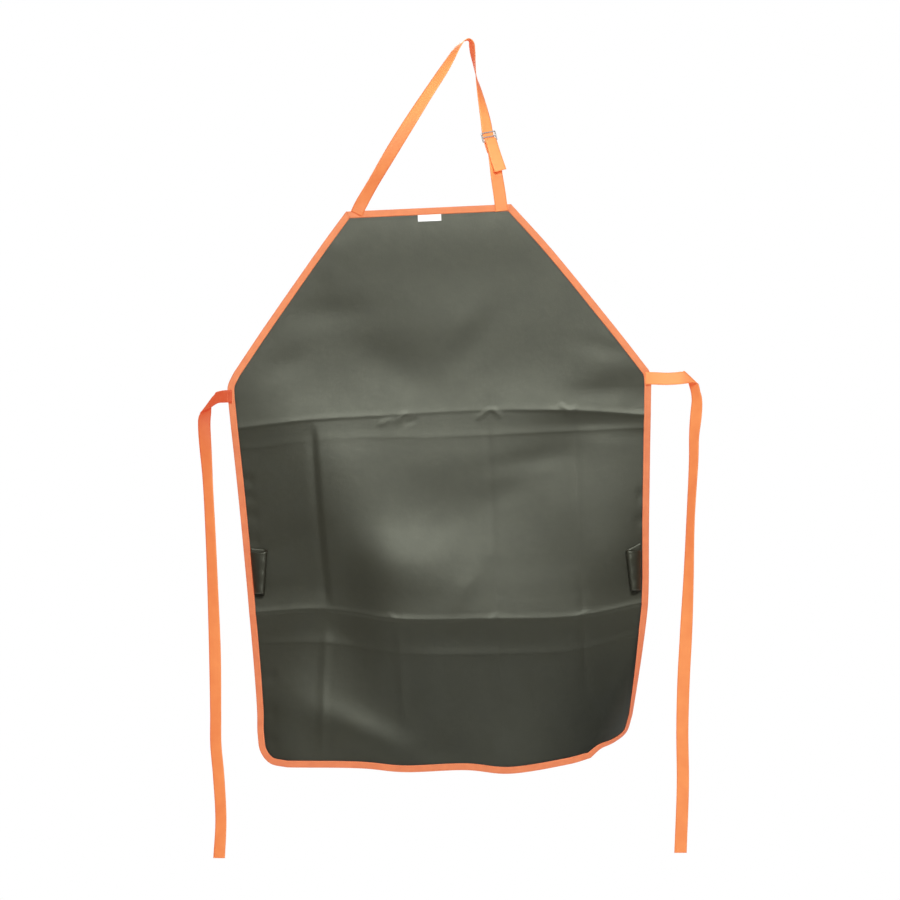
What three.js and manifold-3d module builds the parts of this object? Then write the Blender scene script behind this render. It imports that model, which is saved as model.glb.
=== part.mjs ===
// Hunting apron: a bib apron of coated cloth, bound in orange tape, hanging by its neck strap.
// Millimetres, +Z up, the front faces -Y. The origin is the underside of the neck strap at the
// top of its loop, where a peg or the back of a neck carries it.
import * as THREE from "three";
import { mergeVertices } from "three/addons/utils/BufferGeometryUtils.js";
import Module from "manifold-3d";

const wasm = await Module();
wasm.setup();

// Driving dimensions: walls and clearances
const GAP = 0.3;
const CLOTH = 1.2;
const TAPE = 1.0;
const TAPE_WIDTH = 12;
const WEBBING_WIDTH = 22.5;
const WEBBING = 1.2;

// The panel is drawn in its own frame: across to the right and down from the middle of its top
// edge. It hangs askew by TILT, because the loop's peg stands off the apron's middle line.
const TILT = THREE.MathUtils.degToRad(2.6);
const TOP_MIDDLE = { x: -72, z: -302.4 };

// Outer edge of the tape, stretch by stretch, clockwise, as [across, down]
const OUTLINE = [
  { name: "top edge", bends: 1, points: [[-148.5, 0], [148.5, 0]] },
  { name: "right armhole", bends: 6, points: [[148.5, 0], [222.5, 90], [322.5, 225], [376, 300]] },
  { name: "right waist corner", bends: 3, points: [[376, 300], [384.5, 314], [386, 335]] },
  { name: "right side", bends: 10, points: [[386, 335], [371, 579], [364, 714], [352, 797], [327, 932]] },
  {
    name: "right hem corner",
    bends: 6,
    points: [[327, 932], [315, 963], [290, 979], [266, 987], [246, 1002]],
  },
  {
    name: "hem",
    bends: 14,
    points: [[246, 1002], [202, 1011], [100, 1021], [20, 1011], [-88, 1010], [-169, 1000], [-300, 993]],
  },
  { name: "left hem corner", bends: 5, points: [[-300, 993], [-330, 985], [-347, 962], [-350.5, 930]] },
  { name: "left side", bends: 8, points: [[-350.5, 930], [-350.5, 850], [-363.5, 546], [-376, 325]] },
  { name: "left waist corner", bends: 3, points: [[-376, 325], [-375, 303], [-364, 281]] },
  { name: "left armhole", bends: 5, points: [[-364, 281], [-301, 195.5], [-205, 70.5], [-148.5, 0]] },
];

// How far the cloth stands forward of the hanging plane, at places across and at drops down it
const HANG_ACROSS = [-385, -280, -180, -110, 0, 140, 220, 300, 385];
const HANG = [
  { drop: -20, forward: [0, 0, 0, 0, 0, 0, 0, 0, 0] },
  { drop: 40, forward: [0, 0, 0, 0, 0, 0, 0, 0, 0] },
  { drop: 130, forward: [-1, -1, -3, -3, -3, -3, -2, 0, 0] },
  { drop: 210, forward: [-1, -2, -5, -5, -4, -4, -3, -1, 0] },
  { drop: 290, forward: [0, -1, -5, -6, -5, -4, -3, 0, 0] },
  { drop: 370, forward: [-2, 2, 0, -1, -1, 0, 0, -1, -3] },
  { drop: 450, forward: [-6, 0, 7, 5, 5, 3, 0, 0, -3] },
  { drop: 560, forward: [-13, -3, 10, 13, 11, 8, 6, 5, -3] },
  { drop: 640, forward: [-16, -5, 8, 20, 19, 14, 9, 7, -7] },
  { drop: 735, forward: [-20, -6, 5, 21, 25, 21, 13, 2, -13] },
  { drop: 800, forward: [-21, -5, 7, 20, 24, 20, 12, -2, -18] },
  { drop: 900, forward: [-16, 1, 14, 20, 24, 20, 10, -8, -24] },
  { drop: 1030, forward: [-8, 9, 16, 22, 26, 24, 8, -18, -32] },
];

// Pressed folds across the panel: a ridge along a line of [across, down, height], with two flanks
const UPPER_FOLD = {
  line: [[-370, 381, 2], [-230, 371, 1], [-92, 369, 0.5], [88, 368, 0.5], [244, 376, 2], [375, 390, 3]],
  above: 45,
  below: 45,
};
const LOWER_FOLD = {
  line: [[-350, 714, 4], [-224, 712, 2], [-97, 734, 2], [72, 742, 2], [245, 744, 2], [352, 728, 3]],
  above: 45,
  below: 50,
};
const CROSS_FOLDS = [UPPER_FOLD, LOWER_FOLD];

// Pressed folds down the panel: low ridges, or valleys where the height is negative
const DOWN_FOLDS = [
  { name: "left turn", across: -223, from: 370, to: 715, height: -0.5, flank: 14 },
  { name: "left skirt", across: -228, from: 730, to: 985, height: 0.5, flank: 14 },
  { name: "left of middle", across: -86, from: 735, to: 940, height: 0.4, flank: 16 },
  { name: "right of middle", across: 90, from: 380, to: 985, height: -0.4, flank: 14 },
  { name: "right", across: 244, from: 380, to: 900, height: -0.4, flank: 14 },
];
const FOLD_FADE = 40;

// The lower right corner rolls back beyond a line between two points of [across, down]
const CORNER_ROLL = { from: [370, 735], to: [225, 1020], rate: 0.013 };

// The cloth's facets: stops across and down, with the number of facets up to the next stop
const COLUMN_STOPS = [-395, -352, -221, -88, 90, 244, 352, 395];
const COLUMN_FACETS = [2, 4, 4, 6, 5, 4, 2];
const ROW_STOPS = { bib: [-6, 130, 300], waist: [500, 620], hem: [900, 1030] };
const ROW_FACETS = [3, 4, 1, 2, 2, 3, 3, 2, 2, 2, 4, 4];

// The label hangs from under the top tape
const LABEL = { from: -20, to: 22, drop: 12, thick: 1 };

// Side loops: a folded cloth strip sewn in under the side tape. edge and fold are places across,
// and the front layer swells towards a point at shares of the loop's width and of its bend's radius.
const LOOP_WALL = 1;
const LOOP_REST = 1.6;
const LOOP_SWELL = { inward: 0.25, outward: 2.1 };
const SIDE_LOOPS = [
  {
    name: "side_loop_left",
    top: { drop: 601, edge: -348.5, fold: -318, gape: 12.5 },
    bottom: { drop: 680, edge: -345, fold: -327, gape: 12.5 },
    backRise: 4,
    frontSag: 5,
  },
  {
    name: "side_loop_right",
    top: { drop: 632, edge: 354, fold: 327, gape: 12.5 },
    bottom: { drop: 704, edge: 350.5, fold: 332.5, gape: 12.5 },
    backRise: 13,
    frontSag: 1,
  },
];

// Three-bar slider: its middle bar's centre, the way the strap runs through it and its turn
const SLIDER = { x: 37, y: 0, z: -174, lean: 76.5, turn: 30 };
const SLIDER_SIZE = { width: 31, inside: 26, bar: 2.2, pitch: 8.1, thick: 2, corner: 2.5 };

// Webbing stations. x, y, z is the middle of the webbing. lean turns its cross line from upright
// towards +X, and turn swings that line's upper or outer end away from the viewer.
const front = -(CLOTH / 2 + GAP + TAPE + GAP + WEBBING / 2);
const behind = SLIDER_SIZE.thick / 2 + GAP + WEBBING / 2;
const roundBar = Math.hypot(SLIDER_SIZE.bar, SLIDER_SIZE.thick) / 2 + GAP + WEBBING / 2;
const over = roundBar + WEBBING + GAP;
const lowerBar = SLIDER_SIZE.pitch;

// The strap's way through the slider, as [down, out]: behind two bars and out over the third
const THREADING = [
  [-10.5, -behind],
  [-lowerBar, -behind],
  [-3, -behind],
  [0.9, -behind],
  [2.1, -1.4],
  [4, 1.5],
  [5.6, 3.3],
  [lowerBar, over + 0.1],
  [12.5, over + 0.5],
];

// The anchor webbing's two layers under the slider, before and after its turn over the lower bar
const ANCHOR_FORE = [
  [31, 1.7],
  [16, roundBar],
];
const ANCHOR_REAR = [
  [15.5, -0.9 * roundBar],
  [29, -0.1],
];

const NECK_STRAP = [
  { x: -201.5, y: front, z: -313, lean: -64, turn: 0 },
  { x: -196.5, y: front, z: -302, lean: -63, turn: 0 },
  { x: -188, y: front, z: -286, lean: -61, turn: -18 },
  { x: -169, y: -2, z: -253, lean: -60, turn: -30 },
  { x: -134, y: -3, z: -194, lean: -58, turn: -4 },
  { x: -80, y: -3, z: -108, lean: -56, turn: 30 },
  { x: -42, y: -2, z: -50, lean: -57, turn: 44 },
  { x: -17, y: 0, z: -10, lean: -54, turn: 70 },
  { x: -7, y: 0, z: -1.2, lean: -35, turn: 86 },
  { x: 0, y: 0, z: WEBBING / 2, lean: 0, turn: 94 },
  { x: 5, y: 0, z: -6, lean: 60, turn: 112 },
  { x: 7.5, y: 0, z: -22, lean: 80, turn: 112 },
  { x: 10, y: 0, z: -40, lean: 80, turn: 101 },
  { x: 13.5, y: 1, z: -63, lean: 79, turn: 88 },
  { x: 19, y: 2, z: -88, lean: 78, turn: 70 },
  { x: 25.5, y: 2, z: -118, lean: 77, turn: 52 },
  { x: 31, y: 2, z: -146, lean: 77, turn: 37 },
  ...THREADING.map(([down, out]) => atSlider(down, out)),
  { x: 47, y: -6.5, z: -204, lean: 73, turn: 22 },
  { x: 57.5, y: -9, z: -236, lean: 73, turn: 16 },
];

const ANCHOR_STRAP = [
  { x: 59.5, y: front, z: -308, lean: 82, turn: 0 },
  { x: 58.5, y: front, z: -298, lean: 82, turn: 0 },
  { x: 56.5, y: front, z: -282, lean: 81, turn: 4 },
  { x: 51, y: -2.6, z: -246, lean: 79, turn: 16 },
  ...ANCHOR_FORE.map(([down, out]) => atSlider(down, out)),
  ...loopRoundLowerBar(),
  ...ANCHOR_REAR.map(([down, out]) => atSlider(down, out)),
];

const TIE_LEFT = [
  { x: -425.5, y: -4.2, z: -641.5, lean: 0, turn: 0 },
  { x: -437, y: -4.2, z: -641.5, lean: 0, turn: -6 },
  { x: -451, y: -4.6, z: -643.5, lean: 8, turn: -28 },
  { x: -465, y: -6, z: -652.5, lean: 30, turn: -14 },
  { x: -473, y: -3, z: -659, lean: 38, turn: -3 },
  { x: -474, y: 1.5, z: -664, lean: 42, turn: 2 },
  { x: -475, y: 4.5, z: -674, lean: 58, turn: 8 },
  { x: -476, y: 4.5, z: -692, lean: 84, turn: 4 },
  { x: -470, y: 1, z: -783, lean: 92, turn: -32 },
  { x: -464, y: -3, z: -891, lean: 92, turn: -34 },
  { x: -459.5, y: -5, z: -999, lean: 92, turn: -28 },
  { x: -456, y: -4, z: -1107, lean: 91, turn: -18 },
  { x: -455, y: 0, z: -1215, lean: 90, turn: -26 },
  { x: -455, y: 4, z: -1268, lean: 92, turn: -24 },
  { x: -450, y: 2, z: -1323, lean: 94, turn: -22 },
  { x: -445.5, y: -2, z: -1404, lean: 90, turn: -26 },
  { x: -448.5, y: -5, z: -1472, lean: 88, turn: -20 },
];

const TIE_RIGHT = [
  { x: 318.5, y: front, z: -609, lean: 0, turn: 0 },
  { x: 331, y: front, z: -609, lean: 0, turn: 0 },
  { x: 356, y: -3, z: -610, lean: 0, turn: 12 },
  { x: 376, y: -4.5, z: -609, lean: -12, turn: 10 },
  { x: 389, y: -5, z: -607.5, lean: -34, turn: 5 },
  { x: 397.5, y: -3, z: -606.5, lean: -44, turn: 2 },
  { x: 401.5, y: 1, z: -608.5, lean: -47, turn: 0 },
  { x: 404, y: 4.5, z: -614, lean: -58, turn: 26 },
  { x: 408.5, y: 6.5, z: -630, lean: -82, turn: 46 },
  { x: 411.5, y: 6.5, z: -646, lean: -90, turn: 40 },
  { x: 410, y: 6, z: -675, lean: -92, turn: 28 },
  { x: 406.5, y: 4.5, z: -712, lean: -93, turn: 42 },
  { x: 405.5, y: 3, z: -756, lean: -93, turn: 47 },
  { x: 399.5, y: -2, z: -864, lean: -93, turn: 54 },
  { x: 395.5, y: -6, z: -972, lean: -93, turn: 40 },
  { x: 390.5, y: -6, z: -1080, lean: -93, turn: 16 },
  { x: 387, y: -2, z: -1152, lean: -90, turn: 14 },
  { x: 385, y: 2, z: -1242, lean: -90, turn: 20 },
  { x: 386, y: 3, z: -1340, lean: -91, turn: 18 },
  { x: 381.5, y: -1, z: -1463, lean: -92, turn: 16 },
];

// Facets along the webbing between two stations, and the sine that its cross line's skew is held to
const WEBBING_STEPS = 4;
const LEAST_SINE = 0.72;

// Colours and finishes
const CLOTH_FINISH = { color: 0x60625a, roughness: 0.55, metalness: 0 };
const WEBBING_FINISH = { color: 0xfa8a4b, roughness: 0.8, metalness: 0 };
const LABEL_FINISH = { color: 0xf4f1ee, roughness: 0.8, metalness: 0 };
const METAL_FINISH = { color: 0xc9bdb2, roughness: 0.35, metalness: 1 };

// Smooth curve through values at rising stops, flat beyond both ends
function through(stops, values, at) {
  const last = stops.length - 1;
  if (at <= stops[0]) return values[0];
  if (at >= stops[last]) return values[last];
  const i = stops.findIndex((stop) => stop > at) - 1;
  const slope = (k) => {
    const a = Math.max(k - 1, 0);
    const b = Math.min(k + 1, last);
    return (values[b] - values[a]) / (stops[b] - stops[a]);
  };
  const span = stops[i + 1] - stops[i];
  const t = (at - stops[i]) / span;
  const rise = values[i + 1] - values[i];
  const m0 = slope(i) * span;
  const m1 = slope(i + 1) * span;
  return values[i] + t * m0 + t * t * (3 * rise - 2 * m0 - m1) + t * t * t * (m0 + m1 - 2 * rise);
}

// Drop of a cross fold's line and its height at a place across
function foldAt(fold, across) {
  const stops = fold.line.map((point) => point[0]);
  const [drop, height] = [1, 2].map((column) => {
    const values = fold.line.map((point) => point[column]);
    return through(stops, values, across);
  });
  return { drop, height };
}

// Forward stand of the cloth at a place on the panel
function forward(across, down) {
  const rows = HANG.map((row) => through(HANG_ACROSS, row.forward, across));
  const drops = HANG.map((row) => row.drop);
  let stand = through(drops, rows, down);
  for (const fold of CROSS_FOLDS) {
    const { drop, height } = foldAt(fold, across);
    const past = down - drop;
    const flank = past < 0 ? fold.above : fold.below;
    stand += height * Math.max(0, 1 - Math.abs(past) / flank);
  }
  for (const fold of DOWN_FOLDS) {
    const inside = Math.min(down - fold.from, fold.to - down);
    const fade = THREE.MathUtils.smoothstep(inside, 0, FOLD_FADE);
    stand += fade * fold.height * Math.max(0, 1 - Math.abs(across - fold.across) / fold.flank);
  }
  const { from, to, rate } = CORNER_ROLL;
  const run = Math.hypot(to[0] - from[0], to[1] - from[1]);
  const beyond = ((across - from[0]) * (to[1] - from[1]) - (down - from[1]) * (to[0] - from[0])) / run;
  return stand - rate * Math.max(0, beyond) ** 2;
}

// Steepness factor that keeps a leaning wall as thick as a flat one
function lengthening(across, down) {
  const step = 1;
  const dx = (forward(across + step, down) - forward(across - step, down)) / (2 * step);
  const dz = (forward(across, down + step) - forward(across, down - step)) / (2 * step);
  return Math.hypot(1, dx, dz);
}

// Every facet line between stops, each stop split evenly up to the next
function split(stops, facets) {
  const lines = facets.flatMap((count, i) =>
    Array.from({ length: count }, (_, k) => THREE.MathUtils.lerp(stops[i], stops[i + 1], k / count)),
  );
  return [...lines, stops[stops.length - 1]];
}

// Drops of the facet rows at a place across, with a row on each cross fold, above it and below it
function rowStops(across) {
  const [upper, lower] = CROSS_FOLDS.map((fold) => {
    const { drop } = foldAt(fold, across);
    return [drop - fold.above, drop, drop + fold.below];
  });
  const { bib, waist, hem } = ROW_STOPS;
  return [...bib, ...upper, ...waist, ...lower, ...hem];
}

// A box of facets whose front and rear are split along the same diagonals, so that a twisted facet
// keeps its wall
function slab(width, thick, tall, wideFacets, tallFacets) {
  const geometry = new THREE.BoxGeometry(width, thick, tall, wideFacets, 1, tallFacets);
  const index = geometry.index.array;
  const { start, count } = geometry.groups[3];
  for (let i = start; i < start + count; i += 6) {
    const [a, b, d, , c] = index.slice(i, i + 6);
    index.set([a, b, c, a, c, d], i);
  }
  return geometry;
}

// A layer of the panel between two offsets from the cloth's middle, positive to the front
function layer(rear, fore) {
  const columns = split(COLUMN_STOPS, COLUMN_FACETS);
  const rows = columns.map((across) => split(rowStops(across), ROW_FACETS));
  const wide = columns.length - 1;
  const tall = rows[0].length - 1;
  const geometry = slab(1, 1, 1, wide, tall);
  const place = geometry.getAttribute("position");
  for (let i = 0; i < place.count; i++) {
    const column = Math.round((place.getX(i) + 0.5) * wide);
    const row = Math.round((0.5 - place.getZ(i)) * tall);
    const across = columns[column];
    const down = rows[column][row];
    const offset = place.getY(i) < 0 ? fore : rear;
    place.setXYZ(i, across, -forward(across, down) - offset * lengthening(across, down), -down);
  }
  return solid(geometry);
}

// The closed loop of the outline, as points of (across, up)
function outlineLoop() {
  return OUTLINE.flatMap(({ points, bends }) => {
    const curve = new THREE.SplineCurve(points.map(([across, down]) => new THREE.Vector2(across, -down)));
    return curve.getPoints(bends).slice(0, -1);
  });
}

// A clockwise loop moved inwards, each corner along its mitre, by a distance at each point
function inset(loop, distanceAt) {
  return loop.map((point, i) => {
    const before = loop[(i + loop.length - 1) % loop.length];
    const after = loop[(i + 1) % loop.length];
    const a = point.clone().sub(before).normalize();
    const b = after.clone().sub(point).normalize();
    const mitre = new THREE.Vector2(a.y + b.y, -a.x - b.x);
    return point.clone().addScaledVector(mitre, (2 * distanceAt(point)) / mitre.lengthSq());
  });
}

// A prism through the whole depth of the apron over a loop of (across, up)
function prism(loop) {
  const depth = 400;
  const geometry = new THREE.ExtrudeGeometry(new THREE.Shape(loop), { depth, bevelEnabled: false });
  geometry.rotateX(Math.PI / 2);
  geometry.translate(0, depth / 2, 0);
  return solid(geometry);
}

// A geometry as a solid that can be joined and cut
function solid(geometry) {
  const bare = geometry.clone();
  bare.deleteAttribute("normal");
  bare.deleteAttribute("uv");
  const merged = mergeVertices(bare, 1e-4);
  return new wasm.Manifold(
    new wasm.Mesh({
      numProp: 3,
      vertProperties: merged.getAttribute("position").array,
      triVerts: new Uint32Array(merged.index.array),
    }),
  );
}

// A solid as a geometry again
function geometryOf(body) {
  const mesh = body.getMesh();
  const geometry = new THREE.BufferGeometry();
  geometry.setAttribute("position", new THREE.BufferAttribute(mesh.vertProperties, 3));
  geometry.setIndex(new THREE.BufferAttribute(mesh.triVerts, 1));
  geometry.computeVertexNormals();
  return geometry;
}

function piece(name, geometry, finish) {
  const mesh = new THREE.Mesh(geometry, new THREE.MeshStandardMaterial(finish));
  mesh.name = name;
  return mesh;
}

// A station in the slider's own frame: down along the strap and out to its front
function atSlider(down, out) {
  const lean = THREE.MathUtils.degToRad(SLIDER.lean);
  const turn = THREE.MathUtils.degToRad(SLIDER.turn);
  const outward = new THREE.Vector3(Math.sin(lean), 0, Math.cos(lean));
  const along = new THREE.Vector3(Math.cos(lean), 0, -Math.sin(lean));
  const face = outward.multiplyScalar(Math.sin(turn)).add(new THREE.Vector3(0, -Math.cos(turn), 0));
  return {
    x: SLIDER.x + along.x * down + face.x * out,
    y: SLIDER.y + along.y * down + face.y * out,
    z: SLIDER.z + along.z * down + face.z * out,
    lean: SLIDER.lean,
    turn: SLIDER.turn,
  };
}

// The anchor webbing's half turn over the slider's lower bar, from the front to the back
function loopRoundLowerBar() {
  const stops = [0, 30, 60, 90, 120, 150, 180];
  return stops.map((degrees) => {
    const angle = THREE.MathUtils.degToRad(degrees);
    return atSlider(lowerBar - roundBar * Math.sin(angle), roundBar * Math.cos(angle));
  });
}

// Flat webbing bent along its stations, at its full width wherever its cross line runs askew
function webbing(stations) {
  const curve = new THREE.CatmullRomCurve3(stations.map(({ x, y, z }) => new THREE.Vector3(x, y, z)));
  const spans = stations.length - 1;
  const count = spans * WEBBING_STEPS;
  const geometry = slab(WEBBING_WIDTH, WEBBING, 1, 1, count);
  const place = geometry.getAttribute("position");
  const stops = stations.map((_, i) => i);
  const leans = stations.map(({ lean }) => THREE.MathUtils.degToRad(lean));
  const turns = stations.map(({ turn }) => THREE.MathUtils.degToRad(turn));
  for (let i = 0; i < place.count; i++) {
    const t = place.getZ(i) + 0.5;
    const lean = through(stops, leans, t * spans);
    const turn = through(stops, turns, t * spans);
    const cross = new THREE.Vector3(Math.sin(lean), 0, Math.cos(lean)).multiplyScalar(Math.cos(turn));
    cross.y = Math.sin(turn);
    const way = curve.getTangent(t);
    const face = way.clone().cross(cross);
    const stretch = 1 / Math.max(face.length(), LEAST_SINE);
    const point = curve.getPoint(t);
    point.addScaledVector(cross, place.getX(i) * stretch);
    point.addScaledVector(face.normalize(), place.getY(i));
    place.setXYZ(i, point.x, point.y, point.z);
  }
  return geometry;
}

// One side loop: a strip that runs inwards along the panel, turns and comes back in front of it
function sideLoop({ top, bottom, backRise, frontSag }) {
  const around = 14;
  const tall = 3;
  const geometry = slab(1, LOOP_WALL, 1, around, tall);
  const place = geometry.getAttribute("position");
  const inwards = Math.sign(top.fold - top.edge);
  for (let i = 0; i < place.count; i++) {
    const share = 0.5 - place.getZ(i);
    const at = (column) => THREE.MathUtils.lerp(top[column], bottom[column], share);
    const wide = Math.abs(at("fold") - at("edge"));
    const radius = at("gape") / 2;
    const path = new THREE.Path();
    path.moveTo(0, 0);
    path.lineTo(wide - radius, 0);
    path.absarc(wide - radius, radius, radius, -Math.PI / 2, Math.PI / 2, false);
    const swell = { x: LOOP_SWELL.inward * wide, y: LOOP_SWELL.outward * radius };
    path.quadraticCurveTo(swell.x, swell.y, 0, LOOP_WALL + 3 * GAP);
    const q = inwards > 0 ? 0.5 + place.getX(i) : 0.5 - place.getX(i);
    const point = path.getPointAt(q);
    const way = path.getTangentAt(q);
    const inside = point.x + way.y * place.getY(i);
    const out = point.y - way.x * place.getY(i);
    const across = at("edge") + inwards * inside;
    const lift = (1 - share) * (q < 0.5 ? backRise * (1 - inside / wide) : -frontSag);
    const down = at("drop") - lift;
    place.setXYZ(i, across, -forward(across, down) - CLOTH / 2 - LOOP_REST - out, -down);
  }
  return geometry;
}

// The slider: a rounded plate with two slots, laid along the strap
function slider() {
  const { width, inside, bar, pitch, thick, corner } = SLIDER_SIZE;
  const tall = 2 * pitch + bar;
  const plate = new THREE.Shape();
  const x = width / 2 - corner;
  const y = tall / 2 - corner;
  plate.absarc(x, y, corner, 0, Math.PI / 2, false);
  plate.absarc(-x, y, corner, Math.PI / 2, Math.PI, false);
  plate.absarc(-x, -y, corner, Math.PI, 1.5 * Math.PI, false);
  plate.absarc(x, -y, corner, 1.5 * Math.PI, 2 * Math.PI, false);
  for (const side of [-1, 1]) {
    const middle = (side * pitch) / 2;
    const half = (pitch - bar) / 2;
    plate.holes.push(
      new THREE.Path([
        new THREE.Vector2(-inside / 2, middle - half),
        new THREE.Vector2(-inside / 2, middle + half),
        new THREE.Vector2(inside / 2, middle + half),
        new THREE.Vector2(inside / 2, middle - half),
      ]),
    );
  }
  const geometry = new THREE.ExtrudeGeometry(plate, { depth: thick, bevelEnabled: false, curveSegments: 5 });
  geometry.translate(0, 0, -thick / 2);
  return geometry;
}

// The cloth panel, its edge tape and what is sewn to it, in the panel's own frame
function hungPanel() {
  const edge = outlineLoop();
  const tapeInner = inset(edge, (point) => TAPE_WIDTH / lengthening(point.x, -point.y));
  const skin = CLOTH / 2 + GAP;
  const panel = layer(-CLOTH / 2, CLOTH / 2).intersect(prism(inset(edge, () => TAPE + GAP)));
  const seat = layer(-skin, skin).intersect(prism(inset(edge, () => TAPE)));
  const rim = prism(edge).subtract(prism(tapeInner));
  const tape = layer(-skin - TAPE, skin + TAPE).intersect(rim).subtract(seat);

  // The top tape ends in a mitre at each top corner
  const [left, right] = [0, 1].map((corner) => ({ outer: edge[corner], inner: tapeInner[corner] }));
  const along = ({ outer, inner }, share) => outer.clone().lerp(inner, share);
  const [above, below] = [-0.5, 1.4];
  const topZone = [along(left, above), along(right, above), along(right, below), along(left, below)];
  const topTape = tape.intersect(prism(inset(topZone, () => GAP / 2)));
  const edgeTape = tape.subtract(prism(inset(topZone, () => -GAP / 2)));

  const labelTop = TAPE_WIDTH + GAP;
  const labelBottom = labelTop + LABEL.drop;
  const labelShape = [
    new THREE.Vector2(LABEL.from, -labelTop),
    new THREE.Vector2(LABEL.to, -labelTop),
    new THREE.Vector2(LABEL.to, -labelBottom),
    new THREE.Vector2(LABEL.from, -labelBottom),
  ];
  const label = layer(skin, skin + LABEL.thick).intersect(prism(labelShape));

  const group = new THREE.Group();
  group.add(piece("apron_panel", geometryOf(panel), CLOTH_FINISH));
  group.add(piece("top_binding", geometryOf(topTape), WEBBING_FINISH));
  group.add(piece("edge_binding", geometryOf(edgeTape), WEBBING_FINISH));
  group.add(piece("label", geometryOf(label), LABEL_FINISH));
  for (const loop of SIDE_LOOPS) group.add(piece(loop.name, sideLoop(loop), CLOTH_FINISH));
  group.position.set(TOP_MIDDLE.x, 0, TOP_MIDDLE.z);
  group.rotation.y = -TILT;
  return group;
}

// The slider turned to lie along the strap, its bars across the webbing
function placedSlider() {
  const mesh = piece("slider_buckle", slider(), METAL_FINISH);
  const lean = THREE.MathUtils.degToRad(SLIDER.lean);
  const turn = THREE.MathUtils.degToRad(SLIDER.turn);
  const outward = new THREE.Vector3(Math.sin(lean), 0, Math.cos(lean));
  const bars = outward.clone().multiplyScalar(Math.cos(turn)).add(new THREE.Vector3(0, Math.sin(turn), 0));
  const face = outward.multiplyScalar(Math.sin(turn)).add(new THREE.Vector3(0, -Math.cos(turn), 0));
  const up = face.clone().cross(bars);
  mesh.quaternion.setFromRotationMatrix(new THREE.Matrix4().makeBasis(bars, up, face));
  mesh.position.set(SLIDER.x, SLIDER.y, SLIDER.z);
  return mesh;
}

const apron = new THREE.Group();
apron.add(hungPanel());
apron.add(piece("neck_strap", webbing(NECK_STRAP), WEBBING_FINISH));
apron.add(piece("anchor_strap", webbing(ANCHOR_STRAP), WEBBING_FINISH));
apron.add(placedSlider());
apron.add(piece("waist_tie_left", webbing(TIE_LEFT), WEBBING_FINISH));
apron.add(piece("waist_tie_right", webbing(TIE_RIGHT), WEBBING_FINISH));

export default apron;
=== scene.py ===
"""Hunting apron: its cloth, tape, webbing and metal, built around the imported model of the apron.

The apron hangs by its neck strap. The origin is the underside of the strap at the top of its loop,
+Z is up and the front faces -Y. All sizes are in metres.
"""

import math

import bmesh
import bpy
import numpy as np
from bpy.props import FloatProperty, FloatVectorProperty, PointerProperty
from mathutils import Matrix, Vector
from mathutils.kdtree import KDTree


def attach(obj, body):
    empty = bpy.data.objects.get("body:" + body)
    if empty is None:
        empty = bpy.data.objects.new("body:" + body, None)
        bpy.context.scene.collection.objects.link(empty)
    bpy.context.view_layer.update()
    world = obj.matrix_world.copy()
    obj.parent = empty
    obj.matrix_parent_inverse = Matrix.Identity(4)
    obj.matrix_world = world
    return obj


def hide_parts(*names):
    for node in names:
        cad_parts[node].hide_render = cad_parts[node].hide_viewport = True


bl_info = {
    "name": "Hunting Apron",
    "version": (1, 0, 0),
    "blender": (4, 5, 0),
    "location": "View3D > Sidebar > Apron",
    "description": "Builds the cloth, tape, webbing and metal of a hanging hunting apron",
    "category": "Add Mesh",
}

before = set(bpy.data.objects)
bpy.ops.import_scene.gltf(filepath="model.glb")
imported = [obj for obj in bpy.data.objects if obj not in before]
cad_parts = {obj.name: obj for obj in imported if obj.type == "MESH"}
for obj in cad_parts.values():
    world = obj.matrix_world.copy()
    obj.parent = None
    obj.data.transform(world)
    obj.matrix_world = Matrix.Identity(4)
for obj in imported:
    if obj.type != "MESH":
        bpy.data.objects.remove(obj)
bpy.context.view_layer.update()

# The panel's own frame: across to the right and down from the middle of its top edge
TILT = math.radians(2.6)
TOP_MIDDLE = (-0.072, -0.3024)

# Outer edge of the tape, stretch by stretch, clockwise, as (across, down)
TOP_EDGE = [(-0.1485, 0), (0.1485, 0)]
RIGHT_EDGE = [
    [(0.1485, 0), (0.2225, 0.090), (0.3225, 0.225), (0.376, 0.300)],
    [(0.376, 0.300), (0.3845, 0.314), (0.386, 0.335)],
    [(0.386, 0.335), (0.371, 0.579), (0.364, 0.714), (0.352, 0.797), (0.327, 0.932)],
    [(0.327, 0.932), (0.315, 0.963), (0.290, 0.979), (0.266, 0.987), (0.246, 1.002)],
]
HEM = [
    [
        (0.246, 1.002), (0.202, 1.011), (0.100, 1.021), (0.020, 1.011),
        (-0.088, 1.010), (-0.169, 1.000), (-0.300, 0.993),
    ],
]
LEFT_EDGE = [
    [(-0.300, 0.993), (-0.330, 0.985), (-0.347, 0.962), (-0.3505, 0.930)],
    [(-0.3505, 0.930), (-0.3505, 0.850), (-0.3635, 0.546), (-0.376, 0.325)],
    [(-0.376, 0.325), (-0.375, 0.303), (-0.364, 0.281)],
    [(-0.364, 0.281), (-0.301, 0.1955), (-0.205, 0.0705), (-0.1485, 0)],
]

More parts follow.
